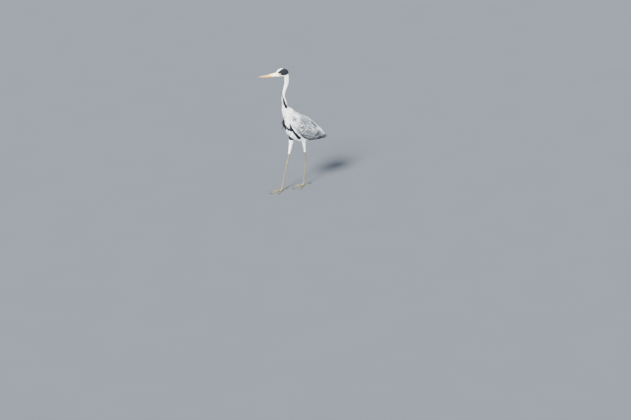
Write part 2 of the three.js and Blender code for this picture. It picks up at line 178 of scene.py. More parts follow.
def bumped(tree, shader, height, strength, distance):
    node = add_node(tree, "ShaderNodeBump", {"Height": height, "Strength": strength, "Distance": distance})
    tree.links.new(node.outputs["Normal"], shader.inputs["Normal"])


# %% [markdown]
# A studio floor is one wide pale sheet. Its material keeps a trace of unevenness, because a perfectly flat
# colour looks like a hole in the picture.

# %% Floor
FLOOR_HALF = 60.0
floor_mesh = bpy.data.meshes.new("floor")
corners = [(x * FLOOR_HALF, y * FLOOR_HALF, 0) for x, y in ((-1, -1), (1, -1), (1, 1), (-1, 1))]
floor_mesh.from_pydata(corners, [], [(0, 1, 2, 3)])
floor = bpy.data.objects.new("floor", floor_mesh)
scene.collection.objects.link(floor)
floor_finish, tree, shader = new_material("studio floor", roughness=0.85, specular=0.15)
coloured(tree, shader, mixed(tree, noise(tree, 3.0), (0.056, 0.064, 0.075), (0.063, 0.070, 0.081)))
floor_mesh.materials.append(floor_finish)

# %% [markdown]
# The bird stands in the open: a strong warm sun from high on the left, which models the feathers, and a
# weak cool one from low on the right, which keeps the shaded side readable. A pale blue sky fills the rest.
# Suns are used, not lamps, because their light is even over the whole floor.

# %% Lights
LIGHT_TARGET = Vector((0, 0, 0.45))  # about the middle of the bird


def lit(name, place, power, colour, spread):
    """Sunlight from a place beside the camera. A wide spread, in degrees, makes soft shadows."""
    light = bpy.data.lights.new(name, "SUN")
    light.energy, light.color, light.angle = power, colour, math.radians(spread)
    lamp = bpy.data.objects.new(name, light)
    lamp.location = place
    lamp.rotation_euler = (LIGHT_TARGET - place).to_track_quat("-Z", "Y").to_euler()
    scene.collection.objects.link(lamp)


lit("key", right * -1.7 + back * 3.0 + Vector((0, 0, 2.3)), 22.5, (1.0, 0.975, 0.94), 16)
lit("fill", right * 1.6 + back * 3.4 + Vector((0, 0, -0.25)), 8.0, (0.88, 0.94, 1.0), 28)
world = bpy.data.worlds.new("studio")
world.use_nodes = True
sky = world.node_tree.nodes["Background"].inputs
sky["Color"].default_value = (0.80, 0.87, 0.95, 1.0)
sky["Strength"].default_value = 1.45
scene.world = world

# %% [markdown]
# ## Measures of the bird
#
# The markings and the lie of the feathers are told in the bird's own directions: forward, to its left and
# up, in millimetres. The trunk slopes, so it has its own pair as well: towards the tail and towards the
# back. The head is turned to the right and droops a little, so it has a frame of its own too.

# %% The bird's own directions
BODY_SHIFT = (10.876, 0.909)  # the solids stand with the middle of their box at the origin
TRUNK_SLOPE = math.radians(40)
TRUNK_HEIGHT = 400.0
HEAD_PLACE = (124.0, 4.0, 769.0)
HEAD_TURN = math.radians(40)
HEAD_DROOP = math.radians(7.5)


def world_of(forward, left, up):
    """A place in the scene from distances forward, left and up."""
    return np.stack(np.broadcast_arrays(left + BODY_SHIFT[0], BODY_SHIFT[1] - forward, up), axis=-1) * MM


def body_of(points):
    """Distances forward, left and up of places in the scene."""
    x, y, z = np.asarray(points).T / MM
    return BODY_SHIFT[1] - y, x - BODY_SHIFT[0], z


def trunk_world(tailward, backward, left):
    forward = -tailward * math.cos(TRUNK_SLOPE) - backward * math.sin(TRUNK_SLOPE)
    up = -tailward * math.sin(TRUNK_SLOPE) + backward * math.cos(TRUNK_SLOPE)
    return world_of(forward, left, TRUNK_HEIGHT + up)


def trunk_of(points):
    """Distances towards the tail, towards the back and to the left, along the sloping trunk."""
    forward, left, up = body_of(points)
    rise = up - TRUNK_HEIGHT
    tailward = -forward * math.cos(TRUNK_SLOPE) - rise * math.sin(TRUNK_SLOPE)
    backward = -forward * math.sin(TRUNK_SLOPE) + rise * math.cos(TRUNK_SLOPE)
    return tailward, backward, left


HEAD_AXES = np.array(Matrix.Rotation(-HEAD_TURN, 3, "Z") @ Matrix.Rotation(HEAD_DROOP, 3, "X"))
HEAD_MIDDLE = world_of(*HEAD_PLACE)


def head_world(forward, left, up):
    local = np.stack(np.broadcast_arrays(left, -forward, up), axis=-1) * MM
    return HEAD_MIDDLE + local @ HEAD_AXES.T


def head_of(points):
    """Distances forward, left and up in the head's own frame."""
    local = (np.asarray(points) - HEAD_MIDDLE) @ HEAD_AXES / MM
    return -local[:, 1], local[:, 0], local[:, 2]


eye_places = [np.array(sum(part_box(name), Vector()) / 2) for name in ("eye_left", "eye_right")]
print("eyes, in the head's frame:", np.round(head_of(eye_places), 2).tolist())

# %% [markdown]
# Markings and sizes change gradually over the bird. Four soft shapes are enough to write them all: a step,
# a stretch between two steps, a hump, and a stripe, which is a hump with a flat top.

# %% Soft shapes
def between(value, start, end):
    """0 before start, 1 after end, and a smooth rise between them."""
    share = np.clip((value - start) / (end - start), 0.0, 1.0)
    return share * share * (3 - 2 * share)


def within(value, rise, fall):
    """Rises from 0 to 1 over the first pair of values and falls again over the second."""
    return between(value, *rise) * (1 - between(value, *fall))


def hump(value, middle, reach):
    return np.exp(-(((value - middle) / reach) ** 2))


def stripe(value, middle, reach):
    """1 on a stripe and 0 beside it, with soft edges."""
    return np.exp(-(((value - middle) / reach) ** 4))


# %% The neck's line and angles round it
# the middle of the neck, from its root to the head
NECK_UPS = [458, 501, 545, 574, 603, 624, 645, 669, 700, 734, 764]
NECK_FORWARDS = [55, 73, 95, 104, 115, 119, 118, 109, 101, 102, 107]
NECK_LEFTS = [0, 0, 2, 4, 6, 8, 11, 14, 18, 20, 18]


def around_neck(forward, left, up):
    """Angle round the neck from straight ahead, in degrees, towards the bird's left."""
    middle_forward = np.interp(up, NECK_UPS, NECK_FORWARDS)
    middle_left = np.interp(up, NECK_UPS, NECK_LEFTS)
    return np.degrees(np.arctan2(left - middle_left, forward - middle_forward))


# %% [markdown]
# ## One hull and one skin
#
# A feathered bird has two surfaces: the outline of its coat, and the skin a few millimetres below. Both
# are made from the solids. The solids are swollen until they touch, then remeshed into one closed surface
# and smoothed, which hides every seam. That is the hull, where the feathers' tips lie. The skin is the
# same without the flight feathers, drawn inwards by the depth of the coat.

# %% Remeshing some solids into one
FLESH = ["trunk", "head", "neck_upper", "neck_middle", "neck_lower", "breast_plumes", "cape"]
FLESH += ["wing_left", "wing_right", "thigh_left", "thigh_right"]
FEATHERED_ENDS = ["tail", "wing_tip_left", "wing_tip_right"]


def swollen(names, swell):
    """One mesh of several solids, each moved out along its normals."""
    whole = bmesh.new()
    for name in names:
        part = bmesh.new()
        part.from_mesh(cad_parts[name].data)
        bmesh.ops.remove_doubles(part, verts=part.verts, dist=1e-5)
        bmesh.ops.recalc_face_normals(part, faces=part.faces)
        part.normal_update()
        moved = [vertex.co + vertex.normal * swell for vertex in part.verts]
        for vertex, place in zip(part.verts, moved):
            vertex.co = place
        mesh = bpy.data.meshes.new("part")
        part.to_mesh(mesh)
        part.free()
        whole.from_mesh(mesh)
        bpy.data.meshes.remove(mesh)
    mesh = bpy.data.meshes.new("whole")
    whole.to_mesh(mesh)
    whole.free()
    return mesh


def remeshed(mesh, voxel, smoothing):
    """The outside of a mesh as one even, smooth mesh."""
    shape = bpy.data.objects.new("shape", mesh)
    scene.collection.objects.link(shape)
    remesh = shape.modifiers.new("Remesh", "REMESH")
    remesh.mode, remesh.voxel_size = "VOXEL", voxel
    smooth = shape.modifiers.new("Smooth", "SMOOTH")
    smooth.factor, smooth.iterations = 0.5, smoothing
    made = bpy.data.meshes.new_from_object(shape.evaluated_get(bpy.context.evaluated_depsgraph_get()))
    bpy.data.objects.remove(shape)
    return largest_part(made)


def largest_part(mesh):
    """The same mesh with only its largest connected shell."""
    shell = bmesh.new()
    shell.from_mesh(mesh)
    unseen, shells = set(shell.verts), []
    while unseen:
        start = unseen.pop()
        found, edge = [start], [start]
        while edge:
            for link in edge.pop().link_edges:
                for vertex in link.verts:
                    if vertex in unseen:
                        unseen.remove(vertex)
                        found.append(vertex)
                        edge.append(vertex)
        shells.append(found)
    shells.sort(key=len)
    for small in shells[:-1]:
        bmesh.ops.delete(shell, geom=small, context="VERTS")
    bmesh.ops.triangulate(shell, faces=shell.faces)
    shell.normal_update()
    shell.to_mesh(mesh)
    shell.free()
    return mesh


class Surface:
    """A triangle mesh as arrays, with the look-ups that laying feathers needs."""

    def __init__(self, mesh):
        self.points = np.empty(len(mesh.vertices) * 3)
        mesh.vertices.foreach_get("co", self.points)
        self.points = self.points.reshape(-1, 3)
        self.faces = np.empty(len(mesh.loops), dtype=np.int64)
        mesh.loops.foreach_get("vertex_index", self.faces)
        self.faces = self.faces.reshape(-1, 3)
        self.edges = np.empty(len(mesh.edges) * 2, dtype=np.int64)
        mesh.edges.foreach_get("vertices", self.edges)
        self.edges = self.edges.reshape(-1, 2)
        self.measure()

    def measure(self):
        a, b, c = (self.points[self.faces[:, k]] for k in range(3))
        across = np.cross(b - a, c - a)
        self.area = np.linalg.norm(across, axis=1) / 2
        normals = np.zeros_like(self.points)
        for k in range(3):
            for axis in range(3):
                normals[:, axis] += np.bincount(self.faces[:, k], across[:, axis], len(self.points))
        self.normals = unit(normals)
        self.tree = BVHTree.FromPolygons(self.points.tolist(), self.faces.tolist(), all_triangles=True)

    def spread(self, values, rounds):
        """Values at the points, evened out with their neighbours'."""
        first, second = self.edges.T
        count = np.bincount(self.edges.ravel(), minlength=len(self.points))
        flat = values.reshape(len(values), -1).astype(float)
        for _ in range(rounds):
            total = np.empty_like(flat)
            for axis in range(flat.shape[1]):
                total[:, axis] = np.bincount(first, flat[second, axis], len(flat))
                total[:, axis] += np.bincount(second, flat[first, axis], len(flat))
            flat = 0.5 * flat + 0.5 * total / count[:, None]
        return flat.reshape(values.shape)

    def nearest(self, places):
        """The closest places on the surface, and the faces they are in."""
        found = [self.tree.find_nearest(place) for place in places.tolist()]
        return np.array([hit[0] for hit in found]), np.array([hit[2] for hit in found])

    def at_faces(self, values, faces):
        return values[self.faces[faces]].mean(axis=1)


def unit(vectors):
    return vectors / np.maximum(np.linalg.norm(vectors, axis=-1, keepdims=True), 1e-12)


BILL_MIDDLE = -7.5  # height of the bill's middle line at its root


def trimmed(surface):
    """Makes room for feathers that stand proud: the face is drawn in round the bill, and so is the neck."""
    ahead, aside, above = head_of(surface.points)
    kept = 1 - 0.17 * between(ahead, 24, 38)
    moved = head_world(ahead, aside * kept, BILL_MIDDLE + (above - BILL_MIDDLE) * kept)
    by_bill = (ahead > 24) & (np.abs(aside) < 40)
    surface.points = np.where(by_bill[:, None], moved, surface.points)
    forward, left, up = body_of(surface.points)
    behind = between(np.abs(around_neck(forward, left, up)), 75, 130)
    slim = 1.6 + 0.8 * behind + 2.0 * behind * hump(up, 650, 40)
    trim = slim * within(up, (520, 560), (690, 740)) + 9.0 * behind * hump(up, 547, 24)
    surface.points = surface.points - surface.normals * (trim * MM)[:, None]
    surface.measure()
    return surface


def closed_over(names):
    """One smooth surface over several solids, fine enough to keep the edge of a wing."""
    return Surface(remeshed(swollen(names, swell=0.0006), voxel=0.0028, smoothing=5))


hull = trimmed(closed_over(FLESH + FEATHERED_ENDS))
print("hull:", len(hull.faces), "triangles,", round(hull.area.sum() * 1e4), "square centimetres")

# %% [markdown]
# Each point of the hull is told which part of the bird it belongs to, from the solid nearest to it. The
# coat's depth, the size of the feathers and much of the colour depend on that.

# %% Parts of the coat
PARTS = {name: [name] for name in ("head", "breast_plumes", "cape", "tail", "trunk")}
PARTS["neck"] = ["neck_upper", "neck_middle", "neck_lower"]
PARTS["wing"] = ["wing_left", "wing_right", "wing_tip_left", "wing_tip_right"]
PARTS["thigh"] = ["thigh_left", "thigh_right"]
PART_NAMES = list(PARTS)


def nearest_parts(points):
    """For each point, the number of the part whose solids are nearest."""
    corners, whole, owner = [], [], []
    for number, names in enumerate(PARTS.values()):
        for name in names:
            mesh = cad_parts[name].data
            offset = len(corners)
            corners += [tuple(vertex.co) for vertex in mesh.vertices]
            whole += [[offset + index for index in face.vertices] for face in mesh.polygons]
            owner += [number] * len(mesh.polygons)
    tree = BVHTree.FromPolygons(corners, whole)
    owner = np.array(owner)
    return owner[[tree.find_nearest(point)[2] for point in points.tolist()]]


hull_part = nearest_parts(hull.points)
is_part = {name: hull_part == number for number, name in enumerate(PART_NAMES)}
print({name: int(mask.sum()) for name, mask in is_part.items()})

COAT_DEPTH = {"head": 1.1, "neck": 2.2, "breast_plumes": 5.0, "cape": 5.4}
COAT_DEPTH |= {"trunk": 4.5, "wing": 4.8, "thigh": 2.2, "tail": 1.0}
coat_depth = np.array([COAT_DEPTH[name] for name in PART_NAMES])[hull_part] * MM
thinner = 1 - 0.75 * between(head_of(hull.points)[0], 22, 38)  # towards the bill
coat_depth = np.where(is_part["head"], coat_depth * thinner, coat_depth)
coat_depth = hull.spread(coat_depth, rounds=10)

# %% [markdown]
# The skin is drawn inwards by that depth, but never by more than a part of the flesh's own thickness
# there, so that thin places such as the edge of a wing don't turn inside out.

# %% Skin
def thickness(surface):
    """How far it is from each point, through the inside, to the other side."""
    found = []
    for point, normal in zip(surface.points, surface.normals):
        hit = surface.tree.ray_cast(Vector(point - normal * 0.3 * MM), Vector(-normal))
        found.append(hit[3] if hit[0] else 1.0)
    return np.array(found)


DEPTH_LIMIT = 0.36  # of the flesh's own thickness
skin_base = trimmed(closed_over(FLESH))
skin_depth = hull.at_faces(coat_depth, hull.nearest(skin_base.points)[1])
skin_depth = np.minimum(skin_depth, DEPTH_LIMIT * thickness(skin_base))
skin_depth = skin_base.spread(skin_depth, rounds=4)
skin_base.points = skin_base.points - skin_base.normals * skin_depth[:, None]
skin_base.points = skin_base.spread(skin_base.points, rounds=2)
skin_base.measure()
print("skin:", len(skin_base.faces), "triangles, mean depth", round(float(skin_depth.mean() / MM), 2), "mm")

# %% [markdown]
# Four small helpers are shared by all the pieces that follow. They make a mesh, shade it smooth, write
# numbers at its points, and put a finished piece on the bird.

# %% Meshes and pieces
def mesh_of(name, points, faces):
    mesh = bpy.data.meshes.new(name)
    mesh.from_pydata(points.tolist(), [], faces)
    mesh.update()
    return mesh


def smooth_shaded(mesh):
    mesh.polygons.foreach_set("use_smooth", np.ones(len(mesh.polygons), dtype=bool))
    return mesh


def give(mesh, **values):
    """Writes numbers at a mesh's points, for its material to read."""
    for key, numbers in values.items():
        numbers = np.ravel(numbers).astype(float)
        mesh.attributes.new(key, "FLOAT", "POINT").data.foreach_set("value", numbers)


def show(name, mesh, material, replaced=()):
    """Adds a finished piece to the bird."""
    piece = bpy.data.objects.new(name, mesh)
    scene.collection.objects.link(piece)
    mesh.materials.append(material)
    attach(piece, "root")
    if replaced:
        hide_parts(*replaced)

# %% [markdown]
# ## Markings
#
# An adult grey heron is white on the head, neck, belly and thighs and ash grey on the back and wings. A
# black band runs from above each eye to the nape. Two rows of black dashes go down the front of the neck
# and part above the breast. A black band runs down each side of the breast and belly, in front of the
# folded wing. The flight feathers are nearly black. Each marking is a smooth function of the place, so
# skin and feathers can both ask for it.
# Some of the black is painted shade: under the breast plumes, on the belly and on the folded wing.

# %% Angles round the trunk
def around_belly(points):
    """Angle round the trunk from the middle of the belly, in degrees, towards the bird's left."""
    tailward, backward, side = trunk_of(points)
    return np.degrees(np.arctan2(side, -(backward + 10)))


def around_back(points):
    """Angle round the trunk from the ridge of the back, in degrees, alike on both sides."""
    tailward, backward, side = trunk_of(points)
    return np.degrees(np.arctan2(np.abs(side), backward + 12))


# %% Black on head and neck
def cap_at(points):
    """The band over the eye, which widens to the nape."""
    ahead, aside, above = head_of(points)
    rise = np.degrees(np.arctan2(above + 1, np.abs(aside)))
    lower = np.interp(ahead, [-46, -31, -18, -5, 5, 13, 20, 27], [-40, -44, -42, -36, -29, -17, 12, 36])
    upper = np.interp(ahead, [-12, -2, 8, 20, 27], [92, 78, 62, 52, 46])
    over = 1 - between(rise, upper - 4, upper + 5)
    band = between(rise, lower - 5, lower + 4) * np.where(ahead < -12, 1.0, over)
    return band * within(ahead, (-54, -46), (22, 28)) * (body_of(points)[2] > 735)


def neck_streaks_at(points):
    """Two rows of dashes down the front of the neck, which part above the breast."""
    forward, left, up = body_of(points)
    angle = around_neck(forward, left, up)
    left_row = np.interp(up, [538, 551, 564, 574, 600, 622, 645, 700], [60, 62, 46, 40, 42, 22, -8, -30])
    right_row = np.interp(up, [535, 560, 590, 608, 625, 645, 700], [-76, -76, -64, -26, -24, -40, -60])
    width = np.interp(up, [535, 560, 585, 620, 700], [30, 34, 28, 19, 10])
    dashes = 0.85 + 0.15 * np.sin(up / 3.4 + angle / 9)
    rows = np.maximum(stripe(angle, left_row, width), stripe(angle, right_row, width))
    return rows * dashes * within(up, (532, 542), (640, 715))


# %% Black on the body
# middle line of the painted shadow that joins the two sides under the breast: angles and distances tailward
JOINT_AROUND = [-88, -54, -27, -14, 5, 17, 24, 35, 48]
JOINT_TAILWARD = [-117, -99, -86, -77, -74, -66, -60, -62, -66]


def flanks_at(tailward, around):
    """A band down each side of the breast and belly."""
    middle = np.interp(tailward, [-85, -70, -51, -20, 11, 36, 50], [60, 50, 43, 42, 40, 36, 33])
    reach = np.interp(tailward, [-95, -70, -45, 0, 36, 50], [5, 6, 7, 8, 9, 7])
    return stripe(np.abs(around), middle, reach) * within(tailward, (-100, -80), (34, 50))


def plume_shadow_at(tailward, around):
    """Painted shadow under the hanging breast plumes: a black band that joins the two sides."""
    middle = np.interp(around, JOINT_AROUND, JOINT_TAILWARD)
    reach = np.interp(around, [-88, -54, -27, -14, 5, 30, 48], [27, 28, 27, 24, 17, 15, 15])
    return stripe(tailward, middle, reach) * within(around, (-116, -98), (44, 54))


def belly_shade_at(tailward, around, up):
    """Painted shade under the belly: a dark patch in front of the thighs, and a line on between them."""
    patch = stripe(tailward, 8, 27) * stripe(around, -10, np.interp(tailward, [-20, 25], [11, 22]))
    line = stripe(around, np.interp(tailward, [10, 30, 45, 55, 65], [-8, -6, -3, 4, 12]), 8)
    line = line * within(tailward, (0, 12), (60, 70))
    return np.maximum(patch * between(up, 300, 314), line * (up > 305))


def bands_and_shade_at(points):
    """All the black of the underside, below the neck, and the painted shade there."""
    tailward, around, up = trunk_of(points)[0], around_belly(points), body_of(points)[2]
    marks = [flanks_at(tailward, around), plume_shadow_at(tailward, around), belly_shade_at(tailward, around, up)]
    return np.maximum.reduce(marks) * (up < 510)


def wing_shade_at(points):
    """Painted shade at the bend of the folded wing and along the seams where plumes and wing meet."""
    tailward, around = trunk_of(points)[0], around_back(points)
    bend = 0.8 * hump(tailward, -88, 13) * hump(around, 62, 12)
    rear = 0.85 * stripe(around, 32, 5) * within(tailward, (25, 60), (100, 140))
    border = np.interp(tailward, [-40, 0, 38], [54, 50, 57])
    front = 0.38 * stripe(around, border, 6) * within(tailward, (-55, -35), (45, 60))
    return np.maximum.reduce([bend, rear, front])


def black_and_shade_at(points):
    """How black the coat is at some places, from 0 to 1, painted shade included."""
    crisp = [between(marks, 0.2, 0.6) for marks in (neck_streaks_at(points), bands_and_shade_at(points))]
    return np.clip(np.maximum.reduce([cap_at(points), *crisp, wing_shade_at(points)]), 0, 1)


# %% Bare skin by place
def bare_at(points):
    """The lores: a strip of bare skin from the eye to the bill."""
    ahead, aside, above = head_of(points)
    middle = np.interp(ahead, [16, 40], [-2.0, -6.5])
    reach = np.interp(ahead, [16, 26, 40], [2.2, 3.2, 5.0])
    strip = 1 - between(np.abs(above - middle), reach - 0.8, reach + 0.8)
    return strip * between(ahead, 15, 18) * (np.abs(aside) > 4)


# %% Grey by place
# how far down the sides the grey reaches: distances tailward, and angles from the ridge of the back
GREY_EDGE = (
    [-130, -110, -97, -85, -62, 0, 29, 80, 120, 200],
    [35, 61, 96, 112, 118, 124, 127, 128, 132, 140],
)


def grey_at(points):
    """How grey the coat is, from 0, white, to 1, the ash grey of the wing."""
    up = body_of(points)[2]
    tailward, around = trunk_of(points)[0], around_back(points)
    edge = np.interp(tailward, *GREY_EDGE)
    body = (1 - between(around, edge - 3, edge + 3)) * between(tailward, -128, -102)
    body = body * (1 - between(up, 520, 565))
    ridge = (1 - between(around, 26, 34)) * between(tailward, -40, 20)
    silvery = (0.45 - 0.3 * hump(tailward, 85, 40)) * ridge
    # the front of the wing is paler, and a painted highlight lies on the shoulder, where the plumes part
    pale_front_and_highlight = np.maximum(hump(tailward, -76, 15) * hump(around, 44, 15),
                          0.58 * (1 - between(tailward, -100, -5)))
    # a painted highlight lower on the wing
    painted_gloss = 0.3 * hump(tailward, 75, 28) * hump(around, 62, 13)
    body = body * (1 - silvery) * (1 - (painted_gloss + pale_front_and_highlight))
    hind_neck = 0.22 * between(np.abs(around_neck(*body_of(points))), 70, 150) * between(up, 520, 600)
    return np.clip(np.maximum(body, hind_neck * (up > 500)), 0, 1)


# %% [markdown]
# ## The lie of the feathers
#
# Feathers point away from the bill: back over the head, down the neck, and along the trunk to the tail.
# On the thighs they point down the leg. The flow is found from a few lines through the middle of the body,
# each point taking the directions of the lines near it, and is then evened out over the hull.

# %% Flow
NECK_LINE = [world_of(*place) for place in zip(NECK_FORWARDS, NECK_LEFTS, NECK_UPS)]
SPINE = [head_world(30, 0, 2), head_world(0, 0, 4), head_world(-22, 0, 0), *NECK_LINE[-2::-1]]
TRUNK_PLACES = [(-96, 6), (-40, -8), (30, -12), (100, 4), (180, 26), (270, 46)]  # tailward, backward
TRUNK_LINE = [trunk_world(tailward, backward, 0) for tailward, backward in TRUNK_PLACES]
LEG_LINES = [
    [world_of(-18, 32, 345), world_of(-45, 19, 222)],
    [world_of(12, -30, 345), world_of(52, -17, 222)],
]


def flow_along(points, lines, reach):
    """Directions at some points, from the pieces of some lines, the near ones counting most."""
    total = np.zeros_like(points)
    for line in lines:
        for start, end in zip(line[:-1], line[1:]):
            length = np.linalg.norm(end - start)
            way = (end - start) / length
            share = np.clip((points - start) @ way / length, 0, 1)
            gap = np.linalg.norm(points - (start + share[:, None] * (end - start)), axis=1)
            total += way * (length / (gap**2 + reach**2) ** 1.5)[:, None]
    return unit(total)


body_flow = flow_along(hull.points, [SPINE, TRUNK_LINE], reach=0.012)
leg_flow = flow_along(hull.points, LEG_LINES, reach=0.01)
flow = np.where(is_part["thigh"][:, None], leg_flow, body_flow)


def settled(surface, directions, rounds):
    """The directions laid into the surface and evened out."""
    for _ in range(rounds):
        directions = surface.spread(directions, 1)
        directions = unit(directions - surface.normals * (directions * surface.normals).sum(axis=1)[:, None])
    return directions


flow = settled(hull, flow, rounds=12)

# %% [markdown]
# ## How a feather is built
#
# A feather is a thin closed vane: an outline that swells and narrows again along a shaft, a little raised
# at the shaft, and slightly hollow underneath. Its line starts at the skin and runs out over the hull with
# the flow, rising to the surface of the coat at its tip, so that each one lies over the roots of those
# behind it. All feathers of a kind are made together with arrays and joined in one mesh, which is much
# faster than making objects one by one.

# %% Where feathers grow
NEIGHBOURS = [(i, j, k) for i in (-1, 0, 1) for j in (-1, 0, 1) for k in (-1, 0, 1)]
TRIES = 5  # places tried for each square of the gap's size


def scattered(faces, gaps):
    """Points spread evenly over some of the hull's faces, at least the given gap apart."""
    weight = hull.area[faces] / gaps**2
    count = int(weight.sum() * TRIES)
    pick = chance.choice(len(faces), count, p=weight / weight.sum())
    first, second = chance.random((2, count))
    over = first + second > 1
    first[over], second[over] = 1 - first[over], 1 - second[over]
    a, b, c = (hull.points[hull.faces[faces[pick]][:, k]] for k in range(3))
    points = a + (b - a) * first[:, None] + (c - a) * second[:, None]
    reach = gaps[pick]
    boxes = np.floor(points / reach.max()).astype(int).tolist()
    grid, kept = {}, []
    for number, (place, (i, j, k)) in enumerate(zip(points.tolist(), boxes)):
        near = (other for p, q, r in NEIGHBOURS for other in grid.get((i + p, j + q, k + r), ()))
        if all(math.dist(place, other) >= reach[number] for other in near):
            grid.setdefault((i, j, k), []).append(place)
            kept.append(number)
    return points[kept], faces[pick[kept]]


def combed(points, faces, lengths, steps, stiffness=0.6, wander=5.0):
    """Each feather's line over the hull: its places, normals and ways, one row for each step."""
    place, normal = points, unit(hull.at_faces(hull.normals, faces))
    way = unit(hull.at_faces(flow, faces))
    turn = np.radians(chance.normal(0, wander, len(points)))[:, None]
    way = unit(way * np.cos(turn) + np.cross(normal, way) * np.sin(turn))
    rows = [(place, normal, way)]
    for _ in range(steps):
        place, near = hull.nearest(place + way * (lengths / steps)[:, None])
        normal = unit(hull.at_faces(hull.normals, near))
        way = unit(stiffness * way + (1 - stiffness) * hull.at_faces(flow, near))
        way = unit(way - normal * (way * normal).sum(axis=1)[:, None])
        rows.append((place, normal, way))
    return [np.stack(column, axis=1) for column in zip(*rows)]


# %% The vanes' mesh
OUTLINES = {  # how the width swells and narrows along the shaft: powers at the root and at the tip
    "contour": (0.55, 0.38),
    "covert": (0.55, 0.62),
    "lance": (0.5, 1.05),
    "flight": (0.35, 0.30),
    "hair": (0.35, 1.4),
}
PLAIN_RING = [(-1, 0), (0, 1), (1, 0), (0, -0.6)]
FINE_RING = [(-1, 0), (-0.55, 0.6), (0, 1.15), (0.55, 0.6), (1, 0), (0.5, -0.4), (0, -0.3), (-0.5, -0.4)]
PATCH = 0.003  # side of each feather's patch on the map for baking


def vane_widths(share, outline):
    """How wide the vane is along the shaft, as a share of its greatest width."""
    rise, fall = OUTLINES[outline]
    shape = share**rise * (1 - share) ** fall
    return shape / (rise / (rise + fall)) ** rise / (fall / (rise + fall)) ** fall


def vane_faces(ring, rows):
    """One vane's faces, the three-sided ones at its ends marked by -1, and which of them are on top."""
    around = len(ring)
    last, tip = 1 + (rows - 3) * around, 1 + (rows - 2) * around
    faces, on_top = [], []
    for j in range(around):
        after = (j + 1) % around
        strip = [[0, 1 + j, 1 + after, -1]]
        for low in range(1, last, around):
            strip.append([low + j, low + around + j, low + around + after, low + after])
        strip.append([last + j, tip, last + after, -1])
        faces += strip
        on_top += [min(ring[j, 1], ring[after, 1]) >= 0] * len(strip)
    return np.array(faces), np.array(on_top)


def vanes(name, lines, widths, lifts, spots, outline="contour", fine=False, cup=14.0, thick=0.12,
          ragged=0.1, tilt=0.0):
    """One mesh of many vanes. Lifts has a row for each vane and a column for each step. The cup is the
    radius of the vane's bend, and a tilt lays one edge under the next vane's edge."""
    places, normals, ways = lines
    count, rows = places.shape[:2]
    ring = np.array(FINE_RING if fine else PLAIN_RING, dtype=float)
    across, raised = ring.T
    share = np.linspace(0, 1, rows)
    swell = vane_widths(np.clip(share, 0.001, 0.999), outline)[:, None]
    rough = 1 + ragged * chance.normal(0, 1, (count, rows, len(ring))) * (np.abs(across) > 0.8)
    reach = widths[:, None, None] / 2 * swell * across * rough
    tapered = np.minimum(1.0, 3 * (1 - share) + 0.25)[:, None]
    height = raised * thick * MM * tapered - reach**2 / (2 * cup * MM) - tilt * reach + lifts[:, :, None]
    points = places[:, :, None] + np.cross(normals, ways)[:, :, None] * reach[..., None]
    points = points + normals[:, :, None] * height[..., None]
    shaft = places + normals * lifts[:, :, None]
    inner = points[:, 1:-1].reshape(count, -1, 3)
    points = np.concatenate([shaft[:, :1], inner, shaft[:, -1:]], axis=1)
    along = np.concatenate([[0], np.repeat(share[1:-1], len(ring)), [1]])
    sideways = np.concatenate([[0], np.tile(across, rows - 2), [0]])
    return vane_mesh(name, points, *vane_faces(ring, rows), along, sideways, spots)


def vane_mesh(name, points, faces, on_top, along, sideways, spots):
    """Writes many like vanes into one mesh, with what their material and their map need."""
    count, each = points.shape[:2]
    sizes = np.where(faces[:, 3] < 0, 3, 4)
    one = np.concatenate([face[:size] for face, size in zip(faces, sizes)])
    corners = (one[None] + each * np.arange(count)[:, None]).ravel()
    mesh = bpy.data.meshes.new(name)
    mesh.vertices.add(count * each)
    mesh.vertices.foreach_set("co", points.ravel())
    mesh.loops.add(len(corners))
    mesh.loops.foreach_set("vertex_index", corners)
    mesh.polygons.add(count * len(faces))
    starts = np.concatenate([[0], np.cumsum(np.tile(sizes, count))[:-1]])
    mesh.polygons.foreach_set("loop_start", starts)
    mesh.update(calc_edges=True)
    mesh.polygons.foreach_set("use_smooth", np.tile(on_top, count))
    patch = np.stack([sideways[one] * 0.5, along[one]], axis=1) * PATCH
    places = spots.pop("uv")[:, None] + patch[None]
    mesh.uv_layers.new(name="OFBake").data.foreach_set("uv", places.ravel())
    give(mesh, along=np.tile(along, count), across=np.tile(sideways, count))
    give(mesh, **{key: np.repeat(values, each) for key, values in spots.items()})
    return mesh


# %% [markdown]
# The map for baking takes each feather's colours to a small patch. The patches lie where the feathers
# grow on an unwrap of the skin, so that neighbours on the bird are neighbours on the map.

# %% Skin's unwrap
skin_mesh = mesh_of("skin", skin_base.points, skin_base.faces.tolist())
skin_mesh.uv_layers.new(name="OFBake")
spread_out = bpy.data.objects.new("spread_out", skin_mesh)
scene.collection.objects.link(spread_out)
bpy.context.view_layer.objects.active = spread_out
spread_out.select_set(True)
bpy.ops.object.mode_set(mode="EDIT")
bpy.ops.mesh.select_all(action="SELECT")
bpy.ops.uv.smart_project(angle_limit=math.radians(66), island_margin=0.004)
bpy.ops.object.mode_set(mode="OBJECT")
bpy.data.objects.remove(spread_out)
skin_uv = np.empty(len(skin_mesh.loops) * 2)
skin_mesh.uv_layers["OFBake"].data.foreach_get("uv", skin_uv)
skin_uv = skin_uv.reshape(-1, 3, 2)


def unwrapped(points):
    """Each point's place on the skin's unwrap."""
    places, faces = skin_base.nearest(points)
    spots = []
    for place, face in zip(places, faces):
        corners = [Vector(corner) for corner in skin_base.points[skin_base.faces[face]]]
        spots.append(np.array(poly_3d_calc(corners, Vector(place))) @ skin_uv[face])
    return np.array(spots) * (1 - PATCH) + [PATCH / 2, 0]


SHOWN = 0.65  # where, along a feather, the middle of its uncovered part lies


